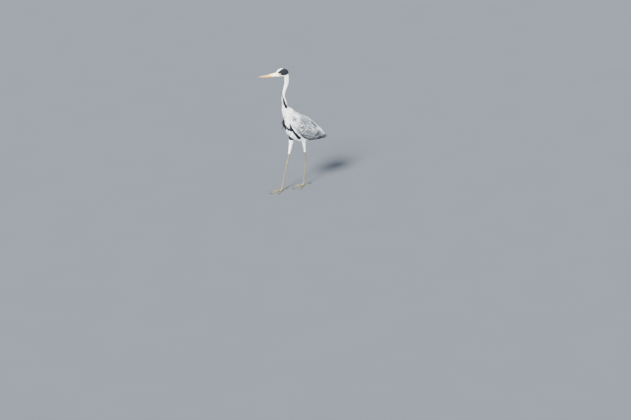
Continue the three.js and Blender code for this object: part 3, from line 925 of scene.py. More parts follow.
def spots_of(lines, tone=0.5, dark=None):
    """What a feather needs: its patch's place, and the markings and painted shade where most of it shows."""
    roots = lines[0][:, 0]
    shown = lines[0][:, round(SHOWN * (lines[0].shape[1] - 1))]
    return {
        "uv": unwrapped(roots),
        "dark": black_and_shade_at(shown) if dark is None else np.full(len(roots), float(dark)),
        "grey": grey_at(shown),
        "tone": tone * np.clip(chance.normal(0, 1, len(roots)), -1.5, 1.5),
    }


# %% [markdown]
# ## Plumage material
#
# One material reads what each feather knows: how grey and how dark it is, its own small change of tone,
# and the place along and across its vane. From those come paler edges, a root darkened by painted shade,
# and the fine slanting lines of the barbs, which also raise the surface a little. The wing's feathers get
# more painted shade at the root and are darker along the shaft than the rest, and the silver plumes of
# the back are paler.

# %% Feathers' finish
WHITE = (0.87, 0.86, 0.83)
ASH = (0.208, 0.226, 0.252)
SILVER = (0.41, 0.435, 0.475)
JET = (0.005, 0.007, 0.012)


def darker(colour, share):
    return tuple(share * part for part in colour)


def feather_finish(name, white, grey, edge=0.25, barbs=26.0, root=0.78, shaded=(0, 0.55), tone=0.15,
                   mottling=1.0, quill=0.0):
    """Edge says how white the vane's edges are, and quill how dark its shaft is. The root is shaded, and
    comes into full light over the shaded stretch. Barbs is the number of lines along the vane."""
    material, tree, shader = new_material(name, 0.72, specular=0.12)
    along, aside = attribute(tree, "along"), maths(tree, "ABSOLUTE", attribute(tree, "across"))
    greyness = attribute(tree, "grey")
    colour = mixed(tree, greyness, white, grey)
    for scale, strength in ((160.0, 0.45), (52.0, 0.6)):
        mottle = times(tree, ramp(tree, noise(tree, scale, 4.0), 0.40, 0.64), strength * mottling)
        mottle = times(tree, mottle, plus(tree, times(tree, greyness, 0.88), 0.12))
        colour = mixed(tree, mottle, colour, darker(grey, 0.45))
    pale = maths(tree, "MAXIMUM", ramp(tree, aside, 0.45, 1.0), ramp(tree, along, 0.72, 1.0))
    colour = mixed(tree, times(tree, pale, edge), colour, white)
    shaft = times(tree, ramp(tree, aside, 0.03, 0.13, 1.0, 0.0), quill)
    colour = mixed(tree, shaft, colour, darker(grey, 0.35))
    colour = mixed(tree, attribute(tree, "dark"), colour, JET)
    slant = plus(tree, times(tree, aside, -0.7), along)
    lines = maths(tree, "SINE", times(tree, slant, barbs * 2 * math.pi))
    shade = ramp(tree, along, *shaded, root, 1.0)
    for value, strength in ((attribute(tree, "tone"), tone), (lines, 0.035)):
        shade = times(tree, shade, plus(tree, times(tree, value, strength), 1.0))
    shades = add_node(tree, "ShaderNodeCombineColor", {0: shade, 1: shade, 2: shade}).outputs[0]
    coloured(tree, shader, mixed(tree, 1.0, colour, shades, "MULTIPLY"))
    bumped(tree, shader, lines, 0.35, 0.0002)
    shader.inputs["Sheen Weight"].default_value = 0.02
    shader.inputs["Sheen Roughness"].default_value = 0.5
    return material


plumage = feather_finish("plumage", WHITE, ASH)
coverts = feather_finish("wing feathers", WHITE, ASH, edge=0.26, barbs=58.0, root=0.35, shaded=(0.45, 0.95),
                         tone=0.3, mottling=1.3, quill=0.55)
silver = feather_finish("silver plumes", WHITE, SILVER, edge=0.4, barbs=40.0, mottling=0.7)

# %% [markdown]
# Between the feathers the skin shows as their fluffy roots, a little darker than their tips. Only the lores
# are really bare. They are a pale greenish yellow.

# %% Skin's finish
skin_finish, tree, shader = new_material("feathered skin", 0.85, specular=0.15)
under = mixed(tree, attribute(tree, "grey"), darker(WHITE, 0.85), darker(ASH, 0.7))
under = mixed(tree, attribute(tree, "dark"), under, JET)
fluff = noise(tree, 420.0, 4.0)
under = mixed(tree, times(tree, fluff, 0.25), under, darker(ASH, 0.6))
lores = mixed(tree, fluff, (0.42, 0.36, 0.14), (0.60, 0.55, 0.33))
coloured(tree, shader, mixed(tree, attribute(tree, "bare"), under, lores))
bumped(tree, shader, fluff, 0.6, 0.0008)
places = skin_base.points
give(skin_mesh, dark=black_and_shade_at(places), grey=grey_at(places), bare=bare_at(places))
show("skin", smooth_shaded(skin_mesh), skin_finish, FLESH)

# %% [markdown]
# ## The coat
#
# Each part of the coat has its own size and spacing of feathers: tiny on the face, narrow on the neck,
# long and loose on the breast, broad on the wing. The longer ones cling together at their tips in locks,
# and each lock stands up by its own small amount, which gives the coat its loose look.

# %% Feathers of one part
hull_face_part = np.array([np.bincount(parts).argmax() for parts in hull_part[hull.faces]])
face_middle = hull.points[hull.faces].mean(axis=1)
face_depth = hull.at_faces(coat_depth, np.arange(len(hull.faces)))


def in_locks(places, each, gather, ruffle):
    """Draws feathers together in locks of about the given number, and lifts each lock by its own amount."""
    count, rows = places.shape[:2]
    leaders = chance.choice(count, max(1, count // each), replace=False)
    tree = KDTree(len(leaders))
    for number, leader in enumerate(leaders):
        tree.insert(places[leader, rows // 2], number)
    tree.balance()
    lock = np.array([tree.find(place)[1] for place in places[:, rows // 2].tolist()])
    share = np.linspace(0, 1, rows)[None, :, None]
    led = places[leaders[lock]]
    return led + (places - led) * (1 - gather * share**1.5), chance.uniform(0, ruffle, len(leaders))[lock]


def grow(name, part, gap, length, width, steps, slot, keep=None, sink=0.85, lift=0.4, outline="contour",
         tone=0.5, locks=(1, 0.0, 0.0), comb=None, dark=None, **shape):
    """Covers one part of the bird with feathers. Gap, length and width are functions of the places, sink
    is the root's depth as a share of the coat's, and lift is how far the tips stand off. Locks says how
    many feathers cling together, how closely, and how far a lock may be lifted."""
    chosen = np.flatnonzero(hull_face_part == PART_NAMES.index(part))
    if keep is not None:
        chosen = chosen[keep(face_middle[chosen])]
    roots, faces = scattered(chosen, gap(face_middle[chosen]) * MM)
    lengths = length(roots) * MM * np.exp(chance.normal(0, 0.08, len(roots)))
    widths = width(roots) * MM * np.exp(chance.normal(0, 0.1, len(roots)))
    lines = combed(roots, faces, lengths, steps, **(comb or {}))
    lines[0], raised = in_locks(lines[0], *locks)
    share = np.linspace(0, 1, steps + 1)[None]
    tips = lift * MM * np.exp(chance.normal(0, 0.5, len(roots))) + raised * MM
    lifts = -face_depth[faces][:, None] * sink * (1 - share) ** 1.3 + tips[:, None] * share
    mesh = vanes(name, lines, widths, lifts, spots_of(lines, tone, dark), outline, **shape)
    print(name, len(roots), "feathers,", sum(len(p.vertices) - 2 for p in mesh.polygons), "triangles")
    show(name, mesh, plumage)


def steady(value):
    return lambda points: np.full(len(points), float(value))


# %% [markdown]
# Feathers are shortest round the bill and the eyes, and get longer towards the nape and down the neck.

# %% Head and neck
LIDS_REACH = 8.3  # from the middle of the eye


def off_eyes(points):
    apart = np.min([np.linalg.norm(points - eye, axis=1) for eye in eye_places], axis=0)
    return (apart > LIDS_REACH * MM) & (bare_at(points) < 0.5)


def to_nape(points):
    return 1 - between(head_of(points)[0], -30, 40)


def down_neck(points):
    return 1 - between(body_of(points)[2], 520, 700)


grow("head_coat", "head", lambda p: 1.0 + 0.55 * to_nape(p), lambda p: 4.2 + 7 * to_nape(p),
     lambda p: 1.5 + 1.2 * to_nape(p), 6, "white_plumage", keep=off_eyes, sink=0.5, lift=0.12, tone=0.3,
     outline="hair", cup=8, thick=0.05)
grow("neck_coat", "neck", lambda p: 1.75 + 1.2 * down_neck(p), lambda p: 12 + 18 * down_neck(p),
     lambda p: 2.6 + 1.7 * down_neck(p), 7, "white_plumage", sink=0.6, lift=0.3, tone=0.3,
     outline="lance", cup=9, thick=0.07, locks=(10, 0.35, 0.7), comb={"wander": 4})

# %% [markdown]
# The breast ends in long narrow plumes. Below them lies a black band, their painted shadow, which joins the
# two sides. A fringe of black plumes hangs beside them on the right. The belly is covered by softer
# feathers and the thighs by short ones that point down the leg.

# %% Breast, belly and thighs
def breast_length(points):
    return 30 + 16 * between(body_of(points)[2], 410, 470)


def thigh_length(points):
    return 15 + 9 * (1 - between(body_of(points)[2], 225, 270))


def beside_breast(points):
    return (np.abs(around_belly(points) + 66) < 24) & (np.abs(trunk_of(points)[0] + 107) < 22)


grow("breast_coat", "breast_plumes", steady(3.0), breast_length, steady(4.6), 8, "white_plumage", lift=0.8,
     outline="lance", cup=20, thick=0.12, ragged=0.12, locks=(14, 0.6, 3.0), comb={"wander": 6})
grow("side_plumes", "breast_plumes", steady(3.0), steady(40), steady(6.5), 9, "black_plumes", sink=0.2,
     lift=5.0, cup=15, thick=0.15, locks=(8, 0.4, 2.0), comb={"wander": 4}, dark=1.0, keep=beside_breast)
grow("belly_coat", "trunk", steady(3.0), steady(20), steady(5.0), 6, "white_plumage", sink=0.7, lift=0.5,
     outline="lance", cup=25, thick=0.1, locks=(12, 0.45, 1.6), comb={"wander": 6})
grow("thigh_coat", "thigh", steady(1.9), thigh_length, steady(3.0), 7, "white_plumage", sink=0.7, lift=0.5,
     outline="lance", cup=7, thick=0.08, locks=(12, 0.3, 1.6), comb={"wander": 4})

# %% [markdown]
# The bend of the wing has small broad feathers. Long silver plumes fall from the shoulders over the back.

# %% Bend of the wing and shoulders
grow("wing_coat", "wing", steady(3.4), steady(20), steady(7), 8, "grey_plumage", sink=0.7, tone=1.0,
     cup=20, ragged=0.05, keep=lambda p: trunk_of(p)[0] < -60, locks=(8, 0.3, 0.8))
grow("cape_coat", "cape", steady(3.4), steady(42), steady(5.2), 9, "silver_plumes", sink=0.7, lift=0.6,
     tone=1.0, outline="lance", cup=40, ragged=0.08, locks=(12, 0.45, 1.8))

# %% [markdown]
# ## Wing, back and tail feathers
#
# The long feathers of a folded wing lie in rows, each row over the roots of the next: small coverts at the
# front, then middle and great coverts, then the flight feathers, whose edges make long parallel lines. They
# are placed by how far they are towards the tail and by the angle round the body from the ridge of the
# back. A ray from outside finds the place on the hull.

# %% Places on the wing
OUTSIDE = 200  # far enough from the trunk's middle to be outside the bird
WING_MIDDLE = ([-92, -26, 15, 65, 110, 155, 198, 236], [-8, -15, -15, -8, 3, 18, 31, 41])


def on_hull(tailward, turn, side):
    """Places on the hull, and their faces, for arrays of distances and angles."""
    middle = np.interp(tailward, *WING_MIDDLE)
    turn = np.radians(turn)
    outside = trunk_world(tailward, middle + OUTSIDE * np.cos(turn), side * OUTSIDE * np.sin(turn))
    inside = trunk_world(tailward, middle, 0 * turn)
    places, faces = [], []
    for far, near in zip(outside, inside):
        hit = hull.tree.ray_cast(Vector(far), Vector(near - far))
        places.append(hit[0])
        faces.append(hit[2])
    return np.array(places), np.array(faces)


# the angles of the wing's lower edge, and of the cape's border on it, at some distances towards the tail
WING_LOW = (
    [-90, -79, -67, -55, -43, -31, -7, 5, 65, 140, 185, 221],
    [88, 95, 99, 103, 106, 109, 113, 114, 116, 114, 115, 117],
)
WING_HIGH = (
    [-90, -79, -67, -43, -19, 5, 29, 53, 77, 100, 137, 161, 185],
    [80, 68, 58, 54, 51, 46, 43, 39, 36, 33, 29, 26, 22],
)


def row(count, tailward, length, width, turn=None, jitter=1.0):
    """One row of feathers, from the wing's lower edge up to the cape or between the given angles."""
    share = np.linspace(0, 1, count)
    at = np.interp(share, np.linspace(0, 1, len(tailward)), tailward) + chance.normal(0, jitter, count)
    if turn is None:
        low, high = np.interp(at, *WING_LOW) - 5, np.interp(at, *WING_HIGH) - 6
        around = low + (high - low) * share
    else:
        around = np.interp(share, np.linspace(0, 1, len(turn)), turn)
    around = around + chance.normal(0, 0.6 * jitter, count)
    lengths = np.interp(share, [0, 1], length) * MM * np.exp(chance.normal(0, 0.03, count))
    return at, around, lengths, np.interp(share, [0, 1], width) * MM


# the hull's normals without its small bumps, and how near each point is to the coat that covers the wing
broad_normals = unit(hull.spread(hull.normals, rounds=8))
covering = is_part["cape"] | is_part["neck"] | is_part["breast_plumes"]
covered_share = hull.spread(covering.astype(float), rounds=40)


def along_wing(at, around, lengths, side, steps, wander, upright):
    """Lines that keep nearly the same angle round the body as they run towards the tail. Upright vanes
    hang down beside the body, the others lie on it."""
    share = np.linspace(0, 1, steps + 1)
    reach = at[:, None] + lengths[:, None] / MM * share
    turned = around[:, None] + chance.normal(0, wander, len(at))[:, None] * share
    places, faces = on_hull(reach.ravel(), turned.ravel(), side)
    places = places.reshape(*reach.shape, 3)
    normals = hull.at_faces(broad_normals, faces).reshape(*reach.shape, 3)
    for _ in range(2):
        places[:, 1:-1] = (places[:, :-2] + 2 * places[:, 1:-1] + places[:, 2:]) / 4
    ways = unit(np.gradient(places, axis=1))
    normals = np.where(upright, [side, 0.0, 0.0], normals)
    return [places, unit(normals - ways * (normals * ways).sum(axis=2, keepdims=True)), ways]


def laid(name, side, rows, slot, material, sink, rise, steps=12, wander=2.0, upright=False, comb=None,
         replaced=(), dark=None, tuck=3.0, **shape):
    """Feathers from several rows as one piece. Each rises from sink to rise, and is tucked in under the
    coat that borders on the wing."""
    at, around, lengths, widths = (np.concatenate(column) for column in zip(*rows))
    if comb:
        lines = combed(*on_hull(at, around, side), lengths, steps, **comb)
    else:
        lines = along_wing(at, around, lengths, side, steps, wander, upright)
    share = np.linspace(0, 1, steps + 1)[None]
    order = np.concatenate([np.linspace(0, 1, len(one[0])) for one in rows])[:, None]
    near = hull.nearest(lines[0].reshape(-1, 3))[1]
    covered = between(hull.at_faces(covered_share, near), 0.05, 0.6).reshape(lines[0].shape[:2])
    lifts = (-sink * (1 - share) ** 0.7 + (rise + 0.9 * order) * share**0.5 - tuck * covered) * MM
    mesh = vanes(name, lines, widths, lifts, spots_of(lines, 1.0, dark), fine=True, **shape)
    print(name, len(at), "feathers")
    show(name, mesh, material, replaced)


# %% [markdown]
# From below upwards, each wing has four outer quills, whose dark edges show under it, the dark primaries
# of its tip, the secondaries, nine rows of coverts, and the tertials over the secondaries' inner ends.
# Silver plumes, the scapulars, fall over them all from the back, in three rows and with nine longer ones
# highest of all.

# %% Flight feathers and coverts
def covert_rows():
    """Nine rows of coverts, from small ones at the bend of the wing to the great ones over the quills."""
    rows = []
    for share in np.linspace(0, 1, 9):
        front = -80 + 104 * share
        reach = (front, front + 10 + 8 * share, front + 42)
        length, width = 28 + 56 * share, 12 + 12 * share**0.7
        rows.append(row(int(10 + 4 * share), reach, (length, 1.1 * length), (width, width), jitter=1.5))
    return rows


for side, word in ((1, "left"), (-1, "right")):
    primaries = [row(7, (120, 150), (130, 116), (17, 17), (100, 50))]
    laid(f"primaries_{word}", side, primaries, "flight_feathers", plumage, 3.0, -1.2, tuck=0, dark=0.8,
         replaced=[f"wing_tip_{word}"], comb={"stiffness": 0.8, "wander": 1.0},
         outline="flight", cup=60, thick=0.35, ragged=0.02)
    outer_quills = [row(4, (48, 130), (96, 84), (32, 26), (112, 110), 0.5)]
    laid(f"outer_quills_{word}", side, outer_quills, "flight_feathers", plumage, 4.0, -3.6, tuck=0, dark=0.9,
         wander=0.3, upright=True, outline="flight", cup=90, thick=0.3, ragged=0.02)
    secondaries = [row(15, (10, 30, 72), (150, 146), (24, 26), (111, 88, 40))]
    laid(f"secondaries_{word}", side, secondaries, "grey_plumage", coverts, 3.5, 0.0, steps=14, wander=1.0,
         outline="flight", cup=90, thick=0.3, ragged=0.02, tilt=0.06 * side)
    tertials = [row(7, (92, 112), (106, 134), (19, 17), (74, 24))]
    laid(f"tertials_{word}", side, tertials, "grey_plumage", coverts, 2.5, 1.2, steps=14, wander=1.5, tuck=0,
         outline="flight", cup=60, thick=0.3, ragged=0.03, tilt=0.06 * side)
    laid(f"coverts_{word}", side, covert_rows(), "grey_plumage", coverts, 2.4, 0.4, steps=10, wander=3.0,
         outline="covert", cup=90, thick=0.18, ragged=0.03, tilt=0.06 * side)
    long_scapulars = [row(9, (92, 124), (130, 142), (8, 10), (42, 12), 3.0)]
    laid(f"long_scapulars_{word}", side, long_scapulars, "silver_plumes", silver, 2.0, 7.0, steps=14, tuck=0,
         comb={"stiffness": 0.9, "wander": 3.0}, outline="lance", cup=14, thick=0.3, ragged=0.04)
    scapulars = [
        row(13, (-40, -10, 20), (96, 120), (6.5, 7), (58, 34, 12), 4.0),
        row(13, (-10, 25, 60), (110, 130), (6, 6.5), (60, 36, 12), 4.0),
        row(11, (30, 60, 85), (104, 122), (5.5, 6), (56, 34, 12), 4.0),
    ]
    laid(f"scapulars_{word}", side, scapulars, "silver_plumes", silver, 2.0, 1.8, steps=14, tuck=0,
         comb={"stiffness": 0.85, "wander": 5.0}, outline="lance", cup=12, thick=0.25, ragged=0.05)

# %% [markdown]
# The tail is twelve stiff feathers that lie nearly flat on each other, the middle pair on top.

# %% Tail
TAIL_FEATHERS = 12
TAIL_STEPS = 13
TAIL_TOP = ([150, 185, 230, 264, 275], [25, 30.5, 38.5, 45, 47])  # tailward, backward
aside = np.linspace(-1, 1, TAIL_FEATHERS)[:, None]
share = np.linspace(0, 1, TAIL_STEPS)
tailward = 172 + (100 - 7 * aside**2) * share
leftward = aside * (9 + 5.5 * share)
backward = np.interp(tailward, *TAIL_TOP) - 1.2 * np.abs(aside)
tail_places = trunk_world(tailward, backward, leftward)
tail_normals = unit(trunk_world(tailward, backward + 1, leftward + 0.12 * aside) - tail_places)
tail_lines = (tail_places, tail_normals, unit(np.gradient(tail_places, axis=1)))
tail_widths = np.full(TAIL_FEATHERS, 17 * MM)
tail_mesh = vanes("tail_feathers", tail_lines, tail_widths, np.zeros((TAIL_FEATHERS, TAIL_STEPS)),
                  spots_of(tail_lines), outline="flight", fine=True, cup=60, thick=0.45, ragged=0.02)
show("tail_feathers", tail_mesh, plumage, ["tail"])

# %% [markdown]
# ## Bill
#
# A heron's bill is a long dagger of horn in two halves. A groove with the slit of the nostril runs along
# each side of the upper half. The halves are lofted from the same rows as the solids, so their outline
# stays true, and only the groove, the nostril and the cutting edges are added.

# %% Closed shapes from rings
def smooth_rows(rows, steps):
    """Rows of sizes with smooth steps between them, by a Catmull-Rom spline."""
    rows = np.array(rows, dtype=float)
    ends = np.concatenate([rows[:1], rows, rows[-1:]])
    made = []
    for a, b, c, d in zip(ends[:-3], ends[1:-2], ends[2:-1], ends[3:]):
        start, rise, end = (c - a) / 2, c - b, (d - b) / 2  # slopes at b, from b to c, and at c
        for t in np.arange(steps) / steps:
            bend = 3 * rise - 2 * start - end + t * (start + end - 2 * rise)
            made.append(b + t * (start + t * bend))
    return np.array(made + [rows[-1]])


def ring_faces(pairs, around):
    """Four-sided faces between pairs of rings, each ring with the same number of points."""
    faces = []
    for one, other in pairs:
        for j in range(around):
            after = (j + 1) % around
            faces.append([one * around + j, one * around + after, other * around + after, other * around + j])
    return faces


def finished(name, points, faces):
    """A closed smooth mesh with its faces turned out."""
    mesh = mesh_of(name, points, faces)
    turned = bmesh.new()
    turned.from_mesh(mesh)
    bmesh.ops.recalc_face_normals(turned, faces=turned.faces)
    turned.to_mesh(mesh)
    turned.free()
    return smooth_shaded(mesh)


def lofted(name, rings):
    """A closed surface over a row of rings, with its ends closed by fans."""
    count, around = rings.shape[:2]
    points = np.concatenate([rings.reshape(-1, 3), rings[[0, -1]].mean(axis=1)])
    first, last = len(points) - 2, len(points) - 1
    faces = ring_faces([(i, i + 1) for i in range(count - 1)], around)
    for j in range(around):
        after = (j + 1) % around
        faces.append([first, after, j])
        faces.append([last, (count - 1) * around + j, (count - 1) * around + after])
    return finished(name, points, faces)


# %% The bill's two halves
BILL_BASE, BILL_TIP = 38.0, 157.0
BILL_ROWS = [  # forward, middle, half width, reach up, reach down
    (157.0, -6.2, 0.9, 0.8, 0.8), (147.0, -6.7, 1.9, 2.1, 2.1), (119.0, -8.0, 4.2, 4.8, 5.2),
    (83.0, -8.6, 6.8, 8.2, 8.4), (54.0, -8.3, 9.2, 11.1, 11.0), (28.0, -7.0, 10.2, 12.2, 11.8),
]
BILL_AROUND = 44
MOUTH_GAP = 0.30  # between the halves' cutting edges
bill_rows = smooth_rows(BILL_ROWS, 22)


def on_both_sides(turn, rise, reach):
    """A hump at the same height on the left and on the right, for angles round the bill."""
    return hump(np.degrees(turn), rise, reach) + hump(np.degrees(turn), 180 - rise, reach)


def bill_half(name, upper):
    """One half of the bill, from the cutting edge round to the ridge or the keel."""
    sign = 1 if upper else -1
    rings, pits = [], []
    for forward, middle, width, above, below in bill_rows:
        edge = np.interp(forward, [BILL_BASE, BILL_TIP], [-9.2, -6.0])
        start = math.asin(np.clip((edge - middle) / below, -0.6, 0.6))
        groove, slit = np.zeros((2, BILL_AROUND))
        if upper:
            turn = np.linspace(start, math.pi - start, BILL_AROUND)
            groove = on_both_sides(turn, 30, 9) * (1 - between(forward, 62, 105))
            slit = on_both_sides(turn, 29, 5) * within(forward, (47, 50), (57, 62))
        else:
            turn = np.linspace(math.pi - start, 2 * math.pi + start, BILL_AROUND)
        dent = (0.7 * groove + 1.3 * slit) * min(1.0, width / 6)
        left = (width - dent) * np.sign(np.cos(turn)) * np.abs(np.cos(turn)) ** 1.12
        up = middle + np.where(np.sin(turn) > 0, above, below) * np.sin(turn)
        up[[0, -1]] = edge + sign * MOUTH_GAP / 2
        mouth_left = np.array([0.82, 0.0, -0.82]) * width * -sign
        mouth_up = np.full(3, edge + sign * MOUTH_GAP * 2.2 * min(1.0, width / 4))
        rings.append(head_world(forward, np.append(left, mouth_left), np.append(up, mouth_up)))
        pits.append(np.append(slit, np.ones(3)))
    rings = np.array(rings)
    mesh = lofted(name, rings)
    ahead = np.repeat(bill_rows[:, 0], BILL_AROUND + 3)
    along = (ahead - BILL_BASE) / (BILL_TIP - BILL_BASE)
    half_height = np.interp(ahead, [BILL_BASE, BILL_TIP], [11.5, 1.5])
    height = (head_of(rings.reshape(-1, 3))[2] + 8) / half_height
    dusk = between(height, -0.3, 0.3) * between(along, 0.15, 0.5)
    give(mesh, along=np.append(along, [1, 0]), height=np.append(height, [0, 0]),
         dusk=np.append(dusk, [0, 0]), pit=np.append(pits, [0, 0]))
    return mesh


# %% [markdown]
# The horn is a dull orange yellow, streaked along the grain and whitish where it meets the face. Towards
# the tip the upper half and then the whole bill turn dusky. The nostril and the mouth are painted dark,
# as the shade in their hollows.

# %% Bill's finish
horn, tree, shader = new_material("bill horn", 0.34, specular=0.5)
along, height = attribute(tree, "along"), attribute(tree, "height")
stretched = add_node(tree, "ShaderNodeMapping", {"Vector": object_place(tree), "Scale": (1.0, 1.0, 3.0)})
streaks = noise(tree, 90.0, 4.0, place=stretched.outputs[0])
colour = mixed(tree, ramp(tree, streaks, 0.35, 0.7), (0.58, 0.26, 0.02), (0.68, 0.38, 0.055))
for share, shade in (
    (ramp(tree, height, 0.2, 0.95, 0.0, 0.6), (0.60, 0.47, 0.20)),  # ridge
    (ramp(tree, attribute(tree, "dusk"), 0.0, 1.0, 0.0, 0.9), (0.11, 0.08, 0.045)),  # upper half
    (ramp(tree, along, 0.74, 0.93, 0.0, 0.95), (0.045, 0.032, 0.022)),  # tip
    (ramp(tree, along, 0.04, 0.3, 0.8, 0.0), (0.78, 0.72, 0.52)),  # where it meets the face
    # painted shade in the nostril and the mouth
    (ramp(tree, attribute(tree, "pit"), 0.2, 0.8, 0.0, 0.9), (0.05, 0.035, 0.02)),  # nostril and mouth
):
    colour = mixed(tree, share, colour, shade)
coloured(tree, shader, colour)
plug(tree, shader.inputs["Roughness"], ramp(tree, streaks, 0.3, 0.7, 0.28, 0.44))
bumped(tree, shader, streaks, 0.15, 0.0003)
show("upper_bill", bill_half("upper_bill", True), horn, ["bill_upper"])
show("lower_bill", bill_half("lower_bill", False), horn, ["bill_lower"])

# %% [markdown]
# ## Eyes
#
# The eye is a wet ball with a slightly bulging front. It is made in rings round the line of sight, so the
# pupil, the yellow iris and its dark rim are exact circles.

# %% Eyeball
EYE_RADIUS = 6.8
EYE_FORWARD, EYE_ASIDE, EYE_UP = 13.0, 13.6, -1.0  # in the head's frame
SIGHT = unit(np.array([0.22, 0.97, -0.06]))  # forward, to the side and up, in the head's frame
EYE_AROUND = 48


def eye_frame(side):
    """The eye's middle, its line of sight, and the directions beside and above that line."""
    sight = HEAD_AXES @ np.array([side * SIGHT[1], -SIGHT[0], SIGHT[2]])
    aside = unit(np.cross(sight, HEAD_AXES[:, 2]))
    return head_world(EYE_FORWARD, side * EYE_ASIDE, EYE_UP), sight, aside, np.cross(aside, sight)


def eyeball(name, side):
    middle, sight, aside, above = eye_frame(side)
    angles = np.radians(np.linspace(2, 176, 46))
    turns = np.linspace(0, 2 * np.pi, EYE_AROUND, endpoint=False)
    outward = np.cos(turns)[:, None] * aside + np.sin(turns)[:, None] * above
    bulge = 0.35 * (1 - between(np.degrees(angles), 34, 50))
    rings = []
    for angle, swell in zip(angles, bulge):
        ahead = (EYE_RADIUS + swell) * np.cos(angle)
        reach = (EYE_RADIUS + swell * 0.3) * np.sin(angle)
        rings.append(middle + MM * (ahead * sight + reach * outward))
    mesh = lofted(name, np.array(rings))
    give(mesh, ring=np.append(np.repeat(np.degrees(angles), EYE_AROUND), [0, 180]),
         spoke=np.append(np.tile(np.cos(turns * 20), len(angles)), [0, 0]))
    return mesh


eye_finish, tree, shader = new_material("wet eye", 0.06, specular=0.6)
ring = attribute(tree, "ring")
iris = mixed(tree, ramp(tree, attribute(tree, "spoke"), -1.0, 1.0), (0.50, 0.25, 0.003), (0.64, 0.37, 0.008))
iris = mixed(tree, ramp(tree, ring, 24, 34, 0.6, 0.0), iris, (0.50, 0.17, 0.005))
iris = mixed(tree, ramp(tree, ring, 40, 46), iris, (0.008, 0.007, 0.008))
coloured(tree, shader, mixed(tree, ramp(tree, ring, 23.5, 25.5), (0.004, 0.004, 0.005), iris))
shader.inputs["Coat Weight"].default_value = 1.0
shader.inputs["Coat Roughness"].default_value = 0.03

# %% [markdown]
# A soft rim of bare skin, the lids, holds the ball. It is thicker above, like a brow, and its outer part
# is black there, because the black band of the crown begins right over the eye.

# %% Lids
LID_AROUND = 64
LID_BLACK = np.array([0, 0, 0, 0.2, 0.8, 1, 1, 0, 0])  # for the nine places of the lid's section


def lid_section(turn):
    """Nine places round the lid's thickness: angles from the line of sight, and heights over the ball."""
    opening = 45 - 5 * abs(math.sin(turn)) + 4 * math.cos(turn) ** 4
    brow = 0.35 * max(0.0, math.sin(turn))
    angles = [0, 1, 4, 10, 20, 36, 44, 12, 3]
    heights = [0.12, 0.40, 0.55 + brow, 0.5 + brow, 0.3, 0.0, -1.2, -1.0, -0.5]
    return [(math.radians(opening + angle), height) for angle, height in zip(angles, heights)]


def lids(name, side):
    middle, sight, aside, above = eye_frame(side)
    turns = np.linspace(0, 2 * np.pi, LID_AROUND, endpoint=False)
    points = []
    for turn in turns:
        outward = math.cos(turn) * aside + math.sin(turn) * above
        for angle, height in lid_section(turn):
            way = math.cos(angle) * sight + math.sin(angle) * outward
            points.append(middle + MM * (EYE_RADIUS + height) * way)
    pairs = [(i, (i + 1) % LID_AROUND) for i in range(LID_AROUND)]
    mesh = finished(name, np.array(points), ring_faces(pairs, len(LID_BLACK)))
    give(mesh, outer=np.outer(np.clip(np.sin(turns) * 2 + 0.9, 0, 1), LID_BLACK))
    return mesh


lid_finish, tree, shader = new_material("lid skin", 0.5, specular=0.4)
wrinkles = noise(tree, 1400.0, 3.0)
colour = mixed(tree, wrinkles, (0.035, 0.033, 0.028), (0.14, 0.13, 0.085))
coloured(tree, shader, mixed(tree, attribute(tree, "outer"), colour, (0.006, 0.007, 0.011)))
bumped(tree, shader, wrinkles, 0.5, 0.0002)
for side, word in ((1, "left"), (-1, "right")):
    show(f"eyeball_{word}", eyeball(f"eyeball_{word}", side), eye_finish, [f"eye_{word}"])
    show(f"lids_{word}", lids(f"lids_{word}", side), lid_finish)

# %% [markdown]
# ## Nape plumes
#
# Two long narrow black plumes hang from the nape, with a few shorter ones over their roots.

# %% Nape plumes
PLUME_ROWS = 14
PLUME_LONGEST = 84
plume_sides = np.array([1, -1, 0.5, -0.5, 0.0, 0.9, -0.9])[:, None]
plume_lengths = np.array([PLUME_LONGEST, PLUME_LONGEST, 46, 42, 34, 26, 26])[:, None]
hang = plume_lengths * np.linspace(0, 1, PLUME_ROWS)
fall = hang / PLUME_LONGEST
ahead = -30 - 8 * np.minimum(1, fall * 5) - 2 * fall
plume_places = head_world(ahead, plume_sides * (3 + 2 * fall), 4 - hang)
plume_ways = unit(np.gradient(plume_places, axis=1))
behind = HEAD_AXES @ np.array([0.0, 1.0, 0.0])
plume_normals = unit(behind - plume_ways * (plume_ways @ behind)[..., None])
plume_lines = (plume_places, plume_normals, plume_ways)
plume_mesh = vanes("nape_plumes", plume_lines, np.full(len(plume_sides), 4.2 * MM), np.zeros(hang.shape),
                   spots_of(plume_lines, dark=1), outline="lance", fine=True, cup=8, thick=0.3, ragged=0.02)
show("nape_plumes", plume_mesh, plumage, ["nape_plume_left", "nape_plume_right"])

# %% [markdown]
# ## Legs and feet
#
# Below the feathers the leg is bare and scaly: a row of broad plates down the front, bands across the tops
# of the toes, and small round scales elsewhere. The solids of one leg are remeshed into one skin, and the
# plates' borders are pressed into it.

# %% Legs
LEGS = {
    "left": {"feathers": (-45, 19, 222), "ankle": (-56, 16, 165), "foot": (-40, 11, 13)},
    "right": {"feathers": (52, -17, 222), "ankle": (70, -15, 165), "foot": (116, -13, 13)},
}
# each toe's turn from straight ahead, away from the other foot, its length and its thickness
TOES = {"middle": (2, 84, 3.7), "outer": (34, 70, 3.3), "inner": (-32, 62, 3.3), "hind": (172, 44, 3.4)}
PLATE_GROOVE = 0.25  # depth of the borders between plates


def toe_way(side, turn):
    """The way a toe points, one millimetre long."""
    angle = math.radians(turn) * (1 if side == "left" else -1)
    return world_of(math.cos(angle), math.sin(angle), 0.0) - world_of(0.0, 0.0, 0.0)


